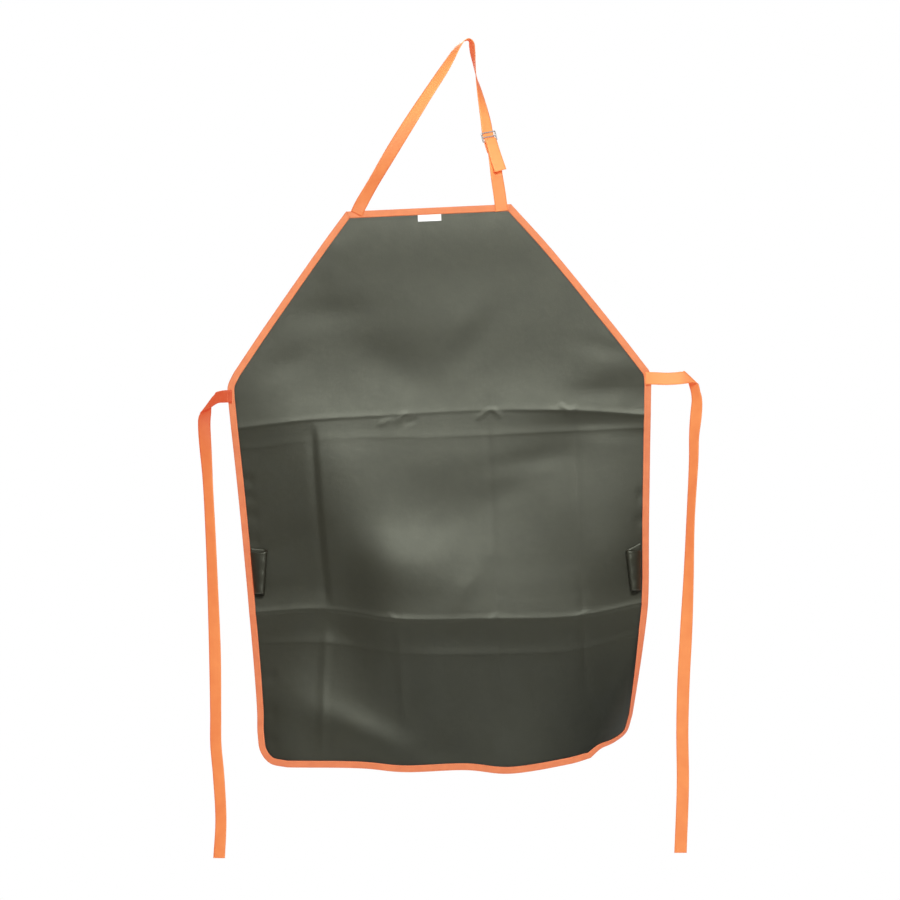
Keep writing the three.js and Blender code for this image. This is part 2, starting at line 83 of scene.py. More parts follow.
# How far the cloth stands forward of the hanging plane, in millimetres, at places across and at drops
HANG_ACROSS = (-0.385, -0.280, -0.180, -0.110, 0.0, 0.140, 0.220, 0.300, 0.385)
HANG = [
    (-0.020, (0, 0, 0, 0, 0, 0, 0, 0, 0)),
    (0.040, (0, 0, 0, 0, 0, 0, 0, 0, 0)),
    (0.130, (-1, -1, -3, -3, -3, -3, -2, 0, 0)),
    (0.210, (-1, -2, -5, -5, -4, -4, -3, -1, 0)),
    (0.290, (0, -1, -5, -6, -5, -4, -3, 0, 0)),
    (0.370, (-2, 2, 0, -1, -1, 0, 0, -1, -3)),
    (0.450, (-6, 0, 7, 5, 5, 3, 0, 0, -3)),
    (0.560, (-13, -3, 10, 13, 11, 8, 6, 5, -3)),
    (0.640, (-16, -5, 8, 20, 19, 14, 9, 7, -7)),
    (0.735, (-20, -6, 5, 21, 25, 21, 13, 2, -13)),
    (0.800, (-21, -5, 7, 20, 24, 20, 12, -2, -18)),
    (0.900, (-16, 1, 14, 20, 24, 20, 10, -8, -24)),
    (1.030, (-8, 9, 16, 22, 26, 24, 8, -18, -32)),
]
STAND_UNIT = 0.001

# Pressed folds across the panel, as a line of (across, down, height, height of its sharp crest), with
# the reach of both flanks
CROSS_FOLDS = {
    "upper": {
        "line": [
            (-0.370, 0.381, 0.002, 0.0004), (-0.230, 0.371, 0.001, 0.0005), (-0.092, 0.369, 0.0005, 0.0003),
            (0.088, 0.368, 0.0005, 0.0002), (0.244, 0.376, 0.002, 0.0006), (0.375, 0.390, 0.003, 0.0006),
        ],
        "above": 0.045,
        "below": 0.045,
    },
    "upper soft": {
        "line": [
            (-0.320, 0.416, 0.0002, 0.0002), (-0.220, 0.407, 0.0002, 0.0), (0.0, 0.412, 0.0002, 0.0001),
            (0.242, 0.412, 0.0003, 0.0002), (0.365, 0.412, 0.0005, 0.0001),
        ],
        "above": 0.016,
        "below": 0.016,
    },
    "lower": {
        "line": [
            (-0.350, 0.714, 0.004, 0.0008), (-0.224, 0.712, 0.002, 0.0005), (-0.097, 0.734, 0.002, 0.0008),
            (0.072, 0.742, 0.002, 0.0006), (0.245, 0.744, 0.002, 0.0006), (0.352, 0.728, 0.003, 0.0009),
        ],
        "above": 0.045,
        "below": 0.050,
    },
    "lower soft": {
        "line": [
            (-0.342, 0.768, 0.0005, 0.0002), (-0.225, 0.772, 0.0004, 0.0002),
            (-0.088, 0.796, 0.0003, 0.0001), (0.080, 0.805, 0.0003, 0.0002),
            (0.242, 0.804, 0.0004, 0.0001), (0.347, 0.782, 0.0010, 0.0002),
        ],
        "above": 0.020,
        "below": 0.020,
    },
}
CREST_REACH = {"above": 0.010, "below": 0.005}

# Pressed folds down the panel, as a line of (down, across), with their height and flanks. At a step the
# cloth right of the fold comes forward over a distance, and is eased back between two places across.
DOWN_FOLDS = {
    "left turn": {
        "line": [(0.370, -0.230), (0.540, -0.225), (0.715, -0.216)],
        "height": -0.0006,
        "flank": 0.014,
        "step": {"height": 0.0016, "over": 0.014, "eased": (-0.290, -0.165)},
    },
    "left skirt": {
        "line": [(0.730, -0.216), (0.860, -0.228), (0.985, -0.236)],
        "height": 0.0008,
        "flank": 0.014,
    },
    "left of middle": {
        "line": [(0.735, -0.088), (0.840, -0.086), (0.940, -0.084)],
        "height": 0.0008,
        "flank": 0.016,
    },
    "right of middle": {
        "line": [(0.380, 0.088), (0.740, 0.090), (0.985, 0.090)],
        "height": -0.0006,
        "flank": 0.014,
    },
    "right": {
        "line": [(0.380, 0.244), (0.745, 0.244), (0.900, 0.244)],
        "height": -0.0006,
        "flank": 0.014,
    },
}

# How folds fade at their ends, how tightly they bend, and how their flanks fall away
FOLD_FADE = 0.040
FOLD_BEND = 0.0015
FOLD_POWER = 1.7

# Swells and dents: across, down, reach along, reach over, turn in degrees, height
SWELLS = {
    "bib blotch": (-0.180, 0.179, 0.045, 0.018, 0, -0.0012),
    "bib slope": (-0.088, 0.276, 0.066, 0.027, 35, -0.0012),
    "bib stroke": (0.076, 0.241, 0.054, 0.017, -50, -0.0008),
    "stroke crest": (0.057, 0.201, 0.036, 0.018, -50, 0.0006),
    "left rim a": (-0.171, 0.065, 0.015, 0.015, 0, 0.0006),
    "left rim b": (-0.185, 0.103, 0.017, 0.017, 0, 0.0006),
    "left patch": (-0.268, 0.268, 0.030, 0.017, -25, -0.0012),
    "right ripple a": (0.303, 0.267, 0.036, 0.013, 15, -0.0008),
    "right ripple b": (0.287, 0.344, 0.048, 0.015, -10, -0.0010),
    "right pinch": (0.290, 0.400, 0.055, 0.016, 3, -0.0018),
    "middle hollow": (-0.009, 0.532, 0.084, 0.054, 0, -0.0020),
    "smudge a": (0.160, 0.462, 0.054, 0.014, -8, -0.0012),
    "smudge b": (0.117, 0.516, 0.036, 0.018, -25, -0.0010),
    "swell foot": (-0.080, 0.640, 0.090, 0.036, 20, 0.0018),
    "foot streak": (0.031, 0.690, 0.042, 0.012, -55, 0.0008),
    "strip dent": (-0.270, 0.589, 0.054, 0.021, -12, -0.0012),
    "skirt wedge": (-0.160, 0.938, 0.072, 0.023, 28, 0.0055),
    "skirt left": (-0.290, 0.900, 0.050, 0.060, 0, 0.0045),
    "hem left": (-0.300, 0.990, 0.050, 0.050, 0, 0.0050),
    "under the lower fold": (0.004, 0.770, 0.054, 0.018, 0, -0.0012),
    "under the left turn": (-0.199, 0.745, 0.020, 0.016, 20, -0.0012),
    "crossing left": (-0.079, 0.748, 0.010, 0.010, 0, 0.0006),
    "crossing middle": (0.089, 0.755, 0.010, 0.010, 0, 0.0006),
    "crossing right": (0.239, 0.750, 0.010, 0.010, 0, 0.0006),
    "hem dent": (-0.020, 0.985, 0.040, 0.020, 10, -0.0012),
}

# Short creases: from (across, down) to (across, down), height, reach over. They fade over a share of
# their length at each end.
CREASE_FADE = 0.35
CREASES = {
    "knot a": ((-0.112, 0.389), (-0.080, 0.374), 0.0007, 0.0032),
    "knot b": ((-0.082, 0.386), (-0.052, 0.362), 0.0008, 0.0032),
    "knot c": ((-0.064, 0.388), (-0.034, 0.378), -0.0006, 0.0030),
    "knot d": ((0.066, 0.388), (0.096, 0.363), 0.0008, 0.0032),
    "knot e": ((0.092, 0.362), (0.118, 0.384), 0.0007, 0.0032),
    "knot f": ((0.216, 0.362), (0.240, 0.378), 0.0008, 0.0032),
    "knot g": ((0.224, 0.388), (0.254, 0.366), 0.0008, 0.0032),
    "foot tick a": ((-0.108, 0.722), (-0.086, 0.742), 0.0004, 0.0030),
    "foot tick b": ((0.070, 0.752), (0.094, 0.730), 0.0005, 0.0030),
    "foot tick c": ((0.228, 0.752), (0.256, 0.734), 0.0004, 0.0030),
    "left notch a": ((-0.372, 0.472), (-0.330, 0.477), -0.0010, 0.0060),
    "left notch b": ((-0.372, 0.502), (-0.328, 0.508), -0.0010, 0.0060),
    "left notch c": ((-0.372, 0.536), (-0.326, 0.542), -0.0010, 0.0070),
    "left notch d": ((-0.368, 0.580), (-0.325, 0.586), -0.0010, 0.0070),
    "left notch e": ((-0.352, 0.834), (-0.305, 0.828), -0.0010, 0.0080),
    "left notch f": ((-0.352, 0.890), (-0.308, 0.894), -0.0010, 0.0080),
    "left notch g": ((-0.350, 0.940), (-0.310, 0.950), -0.0010, 0.0080),
    "right notch a": ((0.380, 0.530), (0.345, 0.536), -0.0010, 0.0070),
    "right notch b": ((0.376, 0.575), (0.340, 0.582), -0.0010, 0.0070),
}

# The lower right corner rolls back beyond a line between two points of (across, down)
CORNER_ROLL = {"from": (0.370, 0.735), "to": (0.225, 1.020), "rate": 13.0}

# Reach of the painted crevice shade on the cloth beside the tape's inner edge, and how much it takes from
# the tint
RIM_SHADE = 0.004
RIM_SHADE_STRENGTH = 0.9

# Zones of painted shade and painted light, where a finish is deeper or paler for the light that falls
# there:
# the heights over which it fades in at its foot and out at its head, the places across over which it does
# so at its left and its right, and the change of its tint
# Painted shade on the cloth: a darker skirt and a darker rolled-back lower right corner
CLOTH_SHADE_ZONES = {
    "skirt": ((-1.60, -1.50), (-1.12, -1.02), (-0.22, -0.10), (0.90, 0.91), -0.35),
    "rolled corner": ((-1.60, -1.50), (-1.22, -1.10), (0.12, 0.26), (0.90, 0.91), -0.50),
}
# Painted shade and painted light on the webbing: deeper on the left tie, the left leg and inside the loop,
# paler on the top of the left leg, the right leg and the right tie
WEBBING_SHADE_AND_LIGHT_ZONES = {
    "left tie": ((-0.80, -0.66), (0.00, 0.10), (-0.61, -0.60), (-0.42, -0.41), -0.45),
    "left leg": ((-0.40, -0.38), (-0.26, -0.14), (-0.26, -0.25), (-0.04, -0.03), -0.13),
    "top of the left leg": ((-0.18, -0.10), (0.00, 0.01), (-0.16, -0.15), (-0.003, -0.001), 0.28),
    "inside the loop": ((-0.10, -0.06), (-0.012, -0.004), (0.000, 0.001), (0.05, 0.06), -0.12),
    "right leg": ((-0.245, -0.235), (-0.12, -0.08), (0.000, 0.001), (0.08, 0.09), 0.22),
    "right tie": ((-0.66, -0.64), (-0.57, -0.56), (0.30, 0.31), (0.38, 0.39), 0.15),
}
# Painted shade on the tape: deeper along its side runs and its hem
TAPE_SHADE_ZONES = {
    "sides": ((-1.27, -1.20), (-0.68, -0.60), (-0.91, -0.90), (0.90, 0.91), -0.20),
    "hem": ((-1.60, -1.50), (-1.30, -1.24), (-0.91, -0.90), (0.90, 0.91), -0.15),
}

# Webbing stations: the middle of the webbing, and its cross line, which lean turns from upright
# towards +X, and whose upper or outer end turn swings away from the viewer, both in degrees
TIE_LEFT = [
    ((-0.4255, -0.0042, -0.6415), 0, 0),
    ((-0.4370, -0.0042, -0.6415), 0, -6),
    ((-0.4510, -0.0046, -0.6435), 8, -28),
    ((-0.4650, -0.0060, -0.6525), 30, -14),
    ((-0.4730, -0.0030, -0.6590), 38, -3),
    ((-0.4740, 0.0015, -0.6640), 42, 2),
    ((-0.4750, 0.0045, -0.6740), 58, 8),
    ((-0.4760, 0.0045, -0.6920), 84, 4),
    ((-0.4700, 0.0010, -0.7830), 92, -32),
    ((-0.4640, -0.0030, -0.8910), 92, -34),
    ((-0.4595, -0.0050, -0.9990), 92, -28),
    ((-0.4560, -0.0040, -1.1070), 91, -18),
    ((-0.4550, 0.0, -1.2150), 90, -26),
    ((-0.4550, 0.0040, -1.2680), 92, -24),
    ((-0.4500, 0.0020, -1.3230), 94, -22),
    ((-0.4455, -0.0020, -1.4040), 90, -26),
    ((-0.4485, -0.0050, -1.4720), 88, -20),
]
TIE_RIGHT = [
    ((0.3185, -0.0025, -0.6090), 0, 0),
    ((0.3310, -0.0025, -0.6090), 0, 0),
    ((0.3560, -0.0030, -0.6100), 0, 12),
    ((0.3760, -0.0045, -0.6090), -12, 10),
    ((0.3890, -0.0050, -0.6075), -34, 5),
    ((0.3975, -0.0030, -0.6065), -44, 2),
    ((0.4015, 0.0010, -0.6085), -47, 0),
    ((0.4040, 0.0045, -0.6140), -58, 26),
    ((0.4085, 0.0065, -0.6300), -82, 46),
    ((0.4115, 0.0065, -0.6460), -90, 40),
    ((0.4100, 0.0060, -0.6750), -92, 28),
    ((0.4065, 0.0045, -0.7120), -93, 42),
    ((0.4055, 0.0030, -0.7560), -93, 47),
    ((0.3995, -0.0020, -0.8640), -93, 54),
    ((0.3955, -0.0060, -0.9720), -93, 40),
    ((0.3905, -0.0060, -1.0800), -93, 16),
    ((0.3870, -0.0020, -1.1520), -90, 14),
    ((0.3850, 0.0020, -1.2420), -90, 20),
    ((0.3860, 0.0030, -1.3400), -91, 18),
    ((0.3815, -0.0010, -1.4630), -92, 16),
]

# The slider's middle bar, the way the strap runs through it and its turn
SLIDER_PLACE = {"at": (0.037, 0.0, -0.174), "lean": 76.5, "turn": 30}

# The strap's way through the slider, as (down, out), and the anchor webbing's way round its lower bar
THREADING = [
    (-0.0105, -0.0019), (-0.0081, -0.0019), (-0.0030, -0.0019), (0.0009, -0.0019), (0.0021, -0.0014),
    (0.0040, 0.0015), (0.0056, 0.0033), (0.0081, 0.0040), (0.0125, 0.0044),
]
ANCHOR_FORE = [(0.0310, 0.0017), (0.0160, 0.0024)]
ANCHOR_REAR = [(0.0155, -0.0022), (0.0290, -0.0001)]
ROUND_BAR = 0.0024
LOWER_BAR = 0.0081
BAR_STOPS = (0, 30, 60, 90, 120, 150, 180)

# Stations of the neck strap before and after the slider, and of the anchor webbing before it
NECK_FROM_BIB = [
    ((-0.2015, -0.0025, -0.3130), -64, 0),
    ((-0.1965, -0.0025, -0.3020), -63, 0),
    ((-0.1880, -0.0025, -0.2860), -61, -18),
    ((-0.1690, -0.0020, -0.2530), -60, -30),
    ((-0.1340, -0.0030, -0.1940), -58, -4),
    ((-0.0800, -0.0030, -0.1080), -56, 30),
    ((-0.0420, -0.0020, -0.0500), -57, 44),
    ((-0.0170, 0.0, -0.0100), -54, 70),
    ((-0.0070, 0.0, -0.0012), -35, 86),
    ((0.0, 0.0, 0.0006), 0, 94),
    ((0.0050, 0.0, -0.0060), 60, 112),
    ((0.0075, 0.0, -0.0220), 80, 112),
    ((0.0100, 0.0, -0.0400), 80, 101),
    ((0.0135, 0.0010, -0.0630), 79, 88),
    ((0.0190, 0.0020, -0.0880), 78, 70),
    ((0.0255, 0.0020, -0.1180), 77, 52),
    ((0.0310, 0.0020, -0.1460), 77, 37),
]
NECK_TAIL = [
    ((0.0470, -0.0065, -0.2040), 73, 22),
    ((0.0575, -0.0090, -0.2360), 73, 16),
]
ANCHOR_FROM_BIB = [
    ((0.0595, -0.0025, -0.3080), 82, 0),
    ((0.0585, -0.0025, -0.2980), 82, 0),
    ((0.0565, -0.0025, -0.2820), 81, 4),
    ((0.0510, -0.0026, -0.2460), 79, 16),
]

# Side loops: drops, places across of their sewn edge and fold, and how far they gape, at top and bottom,
# and how far the top of their back rises and the top of their front sags
SIDE_LOOPS = {
    "left": {
        "top": {"drop": 0.601, "edge": -0.3485, "fold": -0.318, "gape": 0.0125},
        "bottom": {"drop": 0.680, "edge": -0.345, "fold": -0.327, "gape": 0.0125},
        "back_rise": 0.004,
        "front_sag": 0.005,
    },
    "right": {
        "top": {"drop": 0.632, "edge": 0.354, "fold": 0.327, "gape": 0.0125},
        "bottom": {"drop": 0.704, "edge": 0.3505, "fold": 0.3325, "gape": 0.0125},
        "back_rise": 0.013,
        "front_sag": 0.001,
    },
}

# The swell of a side loop's front, as shares of its depth and radius, its stand off the cloth, the gap at
# its sewn edge, the shares of its way round where it turns, its wrinkles and its cut
LOOP_SWELL = {"inward": 0.25, "outward": 2.1}
LOOP_REST = 0.0016
LOOP_GAP = 0.0009
LOOP_TURN = (0.38, 0.62)
LOOP_WRINKLE = {"height": 0.0006, "down": 260, "along": 70}
LOOP_CELLS = {"around": 40, "tall": 28}

# The label's middle, thickness, curl, the wave in its curl, and its reach under the tape
LABEL_MIDDLE = 0.001
LABEL_THICKNESS = 0.0005
LABEL_CURL = 0.0006
LABEL_WAVE = {"share": 0.6, "turn": 5}
LABEL_TUCK = 0.002
LABEL_CELLS = (42, 14)

# Bar tacks: their distances from a strap's end, their share of its width, and how much thread shows
TACK_ROWS = (0.0030, 0.0085)
TACK_SPAN = 0.84
TACK_FILL = 0.9

# Seams: how far the thread rises and dips, in thread widths, how sharply it dips, and cells to a stitch
SEAM = {"rise": 0.45, "dip": 1.3, "sharpness": 6, "cells": 8}

# Gaps between cloth and what is sewn on it, and between the cloth's edge and the fold of the tape
SEWN_GAP = 0.0001
EDGE_GAP = 0.0006

# Steps along the tape and the webbing. A webbing's cross line lengthens where it lies aslant, to keep the
# webbing's width, as far as the least squareness allows.
TAPE_STEP = 0.004
TIE_STEP = 0.00125
NECK_STEP = 0.0015
ANCHOR_STEP = 0.0008
TACK_STEP = 0.001
LEAST_SQUARE = 0.72
WEBBING_CELLS = 8
TAPE_CELLS = {"leg": 5, "bend": 6}

# Points to a stretch of the outline, to a span between webbing stations, and along a side loop's strip
OUTLINE_POINTS = 60
STATION_POINTS = 60
LOOP_POINTS = {"straight": 12, "bend": 24, "front": 24}

# The slider: how far its edges are rounded, as a share of its thickness, and the angle, in radians, past
# which two faces meet in such an edge
SLIDER_ROUNDING = 0.32
SLIDER_SHARP = 0.8

# Lights: where they stand, what they aim at, their size and their share of the key light's power
LIGHTS = {
    "Key": ((0.25, -3.2, 1.15), (-0.05, 0.0, -0.75), (1.6, 1.1), 1.0),
    "Left": ((-4.2, -2.2, 0.6), (-0.05, 0.0, -0.75), (1.8, 1.8), 0.06),
    "Right": ((4.2, -2.2, 0.6), (-0.05, 0.0, -0.75), (1.8, 1.8), 0.06),
    "Back": ((-0.3, 3.6, 1.3), (-0.05, 0.0, -0.75), (2.4, 1.8), 1.2),
}

# The photograph's frame: what stands at the middle of the picture, and the width it shows there
VIEW_CENTRE = (-0.0333, -0.738)
VIEW_WIDTH = 1.62
SENSOR = 36.0
FLOOR_RADIUS = 2.2


# Curves and the hanging cloth


def through(stops, values, at):
    """Smooth curve through values at rising stops, flat beyond both ends.

    values is one number for each stop, or one row of numbers, a column for each place in at.
    """
    stops = np.asarray(stops, float)
    at = np.clip(np.asarray(at, float), stops[0], stops[-1])
    values = np.asarray(values, float)
    if values.ndim == 1:
        values = np.repeat(values[:, None], at.size, axis=1)
    gaps = np.diff(stops)
    rises = np.diff(values, axis=0) / gaps[:, None]
    rates = np.vstack([rises[:1], rises])
    before, after = gaps[:-1, None], gaps[1:, None]
    rates[1:-1] = (rises[:-1] * after + rises[1:] * before) / (before + after)
    span = np.clip(np.searchsorted(stops, at, side="right") - 1, 0, len(gaps) - 1)
    place = np.arange(at.size)
    share = (at - stops[span]) / gaps[span]
    start, end = values[span, place], values[span + 1, place]
    leave, arrive = rates[span, place] * gaps[span], rates[span + 1, place] * gaps[span]
    bend = 3 * (end - start) - 2 * leave - arrive
    return start + share * leave + share**2 * bend + share**3 * (leave + arrive - 2 * (end - start))


def smooth_step(low, high, at):
    """0 below low, 1 above high and a smooth rise between them."""
    share = np.clip((at - low) / (high - low), 0, 1)
    return share * share * (3 - 2 * share)


def lengths_along(points):
    """Length from the first point to each point, along the line through them."""
    return np.concatenate([[0], np.cumsum(np.linalg.norm(np.diff(points, axis=0), axis=1))])


def sampled(stretches, per_stretch=OUTLINE_POINTS):
    """Points of (across, down) along stretches that follow each other."""
    runs = []
    for stretch in stretches:
        points = np.array(stretch, float)
        at = np.linspace(0, len(points) - 1, per_stretch)
        order = np.arange(len(points))
        run = np.column_stack([through(order, points[:, 0], at), through(order, points[:, 1], at)])
        runs.append(run if not runs else run[1:])
    return np.vstack(runs)


RIGHT_RUN = sampled(RIGHT_EDGE)
LEFT_RUN = sampled(LEFT_EDGE)[::-1]
HEM_RUN = sampled(HEM, 2 * OUTLINE_POINTS)[::-1]


def left_edge(down):
    """Place across of the panel's left edge at drops."""
    return np.interp(down, LEFT_RUN[:, 1], LEFT_RUN[:, 0])


def right_edge(down):
    """Place across of the panel's right edge at drops."""
    return np.interp(down, RIGHT_RUN[:, 1], RIGHT_RUN[:, 0])


def hem_drop(across):
    """Drop of the hem at places across."""
    return np.interp(across, HEM_RUN[:, 0], HEM_RUN[:, 1])


def fold_drop(name, across):
    """Drop of a cross fold's line at a place across."""
    line = np.array(CROSS_FOLDS[name]["line"])
    return through(line[:, 0], line[:, 1], across)


def crest(past, flank):
    """Height share of a pressed fold at a distance past its line."""
    away = (np.hypot(past, FOLD_BEND) - FOLD_BEND) / flank
    return np.maximum(0, 1 - away) ** FOLD_POWER


def stand(across, down):
    """How far the cloth stands forward of the hanging plane at places on the panel."""
    across, down = np.asarray(across, float), np.asarray(down, float)
    rows = [through(HANG_ACROSS, row, across) for _, row in HANG]
    total = STAND_UNIT * through([drop for drop, _ in HANG], rows, down)
    for fold in CROSS_FOLDS.values():
        line = np.array(fold["line"])
        past = down - through(line[:, 0], line[:, 1], across)
        for column, reach in ((2, fold), (3, CREST_REACH)):
            flank = np.where(past < 0, reach["above"], reach["below"])
            total += np.interp(across, line[:, 0], line[:, column]) * crest(past, flank)
    for fold in DOWN_FOLDS.values():
        line = np.array(fold["line"])
        inside = np.minimum(down - line[0, 0], line[-1, 0] - down)
        past = across - through(line[:, 0], line[:, 1], down)
        rise = fold["height"] * crest(past, fold["flank"])
        if "step" in fold:
            step = fold["step"]
            forward = smooth_step(0, step["over"], past) - smooth_step(*step["eased"], across)
            rise = rise + step["height"] * forward
        total += smooth_step(0, FOLD_FADE, inside) * rise
    for middle_across, middle_down, along, over, turn, height in SWELLS.values():
        cos, sin = math.cos(math.radians(turn)), math.sin(math.radians(turn))
        right, low = across - middle_across, down - middle_down
        reach = ((right * cos + low * sin) / along) ** 2 + ((low * cos - right * sin) / over) ** 2
        total += height * np.exp(-0.5 * reach)
    for begin, end, height, over in CREASES.values():
        run = np.subtract(end, begin)
        length = math.hypot(*run)
        right, low = across - begin[0], down - begin[1]
        share = (right * run[0] + low * run[1]) / length**2
        aside = (low * run[0] - right * run[1]) / length
        fade = smooth_step(0, CREASE_FADE, share) * smooth_step(0, CREASE_FADE, 1 - share)
        total += height * fade * np.exp(-0.5 * (aside / over) ** 2)
    begin, end = CORNER_ROLL["from"], CORNER_ROLL["to"]
    run = np.subtract(end, begin)
    beyond = ((across - begin[0]) * run[1] - (down - begin[1]) * run[0]) / math.hypot(*run)
    total -= CORNER_ROLL["rate"] * np.maximum(0, beyond) ** 2
    return total


def slopes(across, down, step=0.0005):
    """How fast the cloth comes forward across and down, at places on the panel."""
    by_across = (stand(across + step, down) - stand(across - step, down)) / (2 * step)
    by_down = (stand(across, down + step) - stand(across, down - step)) / (2 * step)
    return by_across, by_down


def hung(across, down, off=0.0):
    """Points in the apron's frame at places on the panel, at a distance off the cloth's middle."""
    by_across, by_down = slopes(across, down)
    lift = off / np.sqrt(1 + by_across**2 + by_down**2)
    forward = stand(across, down) + lift
    across = across - lift * by_across
    down = down - lift * by_down
    x = TOP_MIDDLE[0] + across * math.cos(TILT) + down * math.sin(TILT)
    z = TOP_MIDDLE[1] + across * math.sin(TILT) - down * math.cos(TILT)
    return np.column_stack([x, -forward, z])


# Meshes and pieces


def grid_piece(name, cells_across, cells_along, place, thickness):
    """A sheet from a grid, whose points and UV, in metres, place gives from shares across and along."""
    bm = bmesh.new()
    bmesh.ops.create_grid(bm, x_segments=cells_across, y_segments=cells_along, size=0.5)
    mesh = mesh_of(name, bm)
    flat = np.empty(len(mesh.vertices) * 3)
    mesh.vertices.foreach_get("co", flat)
    shares = flat.reshape(-1, 3)[:, :2] + 0.5
    points, uv = place(shares[:, 0], shares[:, 1])
    mesh.vertices.foreach_set("co", np.ascontiguousarray(points, dtype=float).ravel())
    corner = np.empty(len(mesh.loops), np.int32)
    mesh.loops.foreach_get("vertex_index", corner)
    layer = mesh.uv_layers.new(name="Cloth")
    layer.data.foreach_set("uv", np.ascontiguousarray(uv[corner], dtype=float).ravel())
    mesh.update()
    piece = add_object(name, mesh)
    wall = piece.modifiers.new("Wall", "SOLIDIFY")
    wall.thickness = thickness
    wall.offset = 0
    return piece


def mesh_of(name, bm):
    """A smooth mesh from a bmesh, which is freed."""
    mesh = bpy.data.meshes.new(name)
    bm.to_mesh(mesh)
    bm.free()
    mesh.shade_smooth()
    return mesh


def add_object(name, data):
    """An object with that mesh, light or camera, in the scene."""
    made = bpy.data.objects.new(name, data)
    bpy.context.scene.collection.objects.link(made)
    return made


def bmesh_piece(name, bm):
    """An object from a bmesh, which is freed."""
    return add_object(name, mesh_of(name, bm))


def dress(piece, slot, material, *nodes):
    """Gives a piece its finish, lets it ride and stand for its CAD nodes."""
    piece.data.materials.clear()
    piece.data.materials.append(material)
    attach(piece, "root")
    if nodes:
        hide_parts(*nodes)
    return piece


def unit(vectors):
    """Vectors of length 1."""
    return vectors / np.linalg.norm(vectors, axis=-1, keepdims=True)


# The panel's grid: drops of rows in its bib, waist and skirt, distances of rows from the cross folds, the
# cells from each row stop to the next, the columns, a first guess of its width, steps to settle it, and
# slack for rounding, in rows
LEVEL_ROWS = {"bib": 0.150, "waist": 0.520, "skirt": 0.890}
FOLD_FAR = 0.050
FOLD_NEAR = 0.006
ROW_CELLS = (24, 34, 16, 5, 5, 9, 5, 18, 24, 16, 5, 5, 13, 5, 16, 24)
PANEL_COLUMNS = 216
FIRST_WIDTH = 0.7
SETTLING_STEPS = 6
ROW_SLACK = 1e-6


def row_stops(across, margin):
    """Drops of the panel's row stops at places across, with rows along each cross fold."""
    flat = np.ones_like(across)
    stops = [margin * flat, LEVEL_ROWS["bib"] * flat]
    for fold, soft_fold, level in (("upper", "upper soft", "waist"), ("lower", "lower soft", "skirt")):
        line, soft = fold_drop(fold, across), fold_drop(soft_fold, across)
        stops += [line - FOLD_FAR, line - FOLD_NEAR, line, line + FOLD_NEAR, soft, soft + FOLD_NEAR]
        stops.append(LEVEL_ROWS[level] * flat)
    return np.array([*stops, hem_drop(across) - margin])


def panel_places(share_across, share_up, margin):
    """Places on the panel of the grid's points: rows follow the folds, and columns the side edges."""
    counts = np.concatenate([[0], np.cumsum(ROW_CELLS)])
    row = (1 - share_up) * counts[-1]
    band = np.clip(np.searchsorted(counts, row + ROW_SLACK, side="right") - 1, 0, len(ROW_CELLS) - 1)
    within = (row - counts[band]) / np.array(ROW_CELLS)[band]
    across = (share_across - 0.5) * FIRST_WIDTH
    point = np.arange(across.size)
    for _ in range(SETTLING_STEPS):
        stops = row_stops(across, margin)
        down = stops[band, point] * (1 - within) + stops[band + 1, point] * within
        left, right = left_edge(down) + margin, right_edge(down) - margin
        across = left + share_across * (right - left)
    return across, down


def shade_rim(mesh, tape_width):
    """Marks the strip of the panel under the tape's inner edge, where painted crevice shade darkens the
    cloth.
    """
    edge = np.vstack([sampled([TOP_EDGE]), RIGHT_RUN, HEM_RUN, LEFT_RUN])
    tree = KDTree(len(edge))
    for k, (across, down) in enumerate(edge):
        tree.insert((across, down, 0), k)
    tree.balance()
    layer = mesh.uv_layers["Cloth"].data
    away = np.zeros(len(mesh.vertices))
    for loop, corner in zip(mesh.loops, layer):
        if away[loop.vertex_index] == 0:
            away[loop.vertex_index] = tree.find((corner.uv[0], -corner.uv[1], 0))[2]
    rim_shade = mesh.attributes.new("Rim", "FLOAT", "POINT")
    rim_shade.data.foreach_set("value", 1 - smooth_step(tape_width, tape_width + RIM_SHADE, away))


def tape_path(stretches):
    """Even points along stretches of the outline."""
    run = sampled(stretches)
    length = lengths_along(run)
    at = np.linspace(0, length[-1], int(round(length[-1] / TAPE_STEP)) + 1)
    return np.column_stack([np.interp(at, length, run[:, 0]), np.interp(at, length, run[:, 1])])


def mitres(path, before, after):
    """The way inwards at each point of a clockwise path, as long as the mitre needs."""
    whole = np.vstack([before, path, after])
    ways = unit(np.diff(whole, axis=0))
    sides = np.column_stack([-ways[:, 1], ways[:, 0]])
    both = sides[:-1] + sides[1:]
    return 2 * both / np.sum(both**2, axis=1, keepdims=True)


def tape_section(width, offset):
    """Distance in from the edge and off the cloth along a folded tape, from its back to its front."""
    leg = np.linspace(width, offset, TAPE_CELLS["leg"] + 1)
    angle = np.linspace(math.pi, 0, TAPE_CELLS["bend"] + 1)[1:-1]
    inward = np.concatenate([leg, offset - offset * np.sin(angle), leg[::-1]])
    off = np.concatenate([-offset + 0 * leg, offset * np.cos(angle), offset + 0 * leg])
    return inward, off


def folded_tape(name, path, ways, sizes):
    """Tape folded over an edge of the panel along a path."""
    inward, off = tape_section(sizes.tape_width, sizes.tape_offset())
    across_by = lengths_along(np.column_stack([inward, off]))
    along_by = lengths_along(path)

    def place(share_round, share_along):
        i = np.rint(share_round * (len(inward) - 1)).astype(int)
        k = np.rint(share_along * (len(path) - 1)).astype(int)
        by_across, by_down = slopes(path[k, 0], path[k, 1])
        depth = inward[i] / np.sqrt(1 + by_across**2 + by_down**2)
        spot = path[k] + ways[k] * depth[:, None]
        uv = np.column_stack([across_by[i], along_by[k]])
        return hung(spot[:, 0], spot[:, 1], off[i]), uv

    return grid_piece(name, len(inward) - 1, len(path) - 1, place, sizes.tape_thickness)


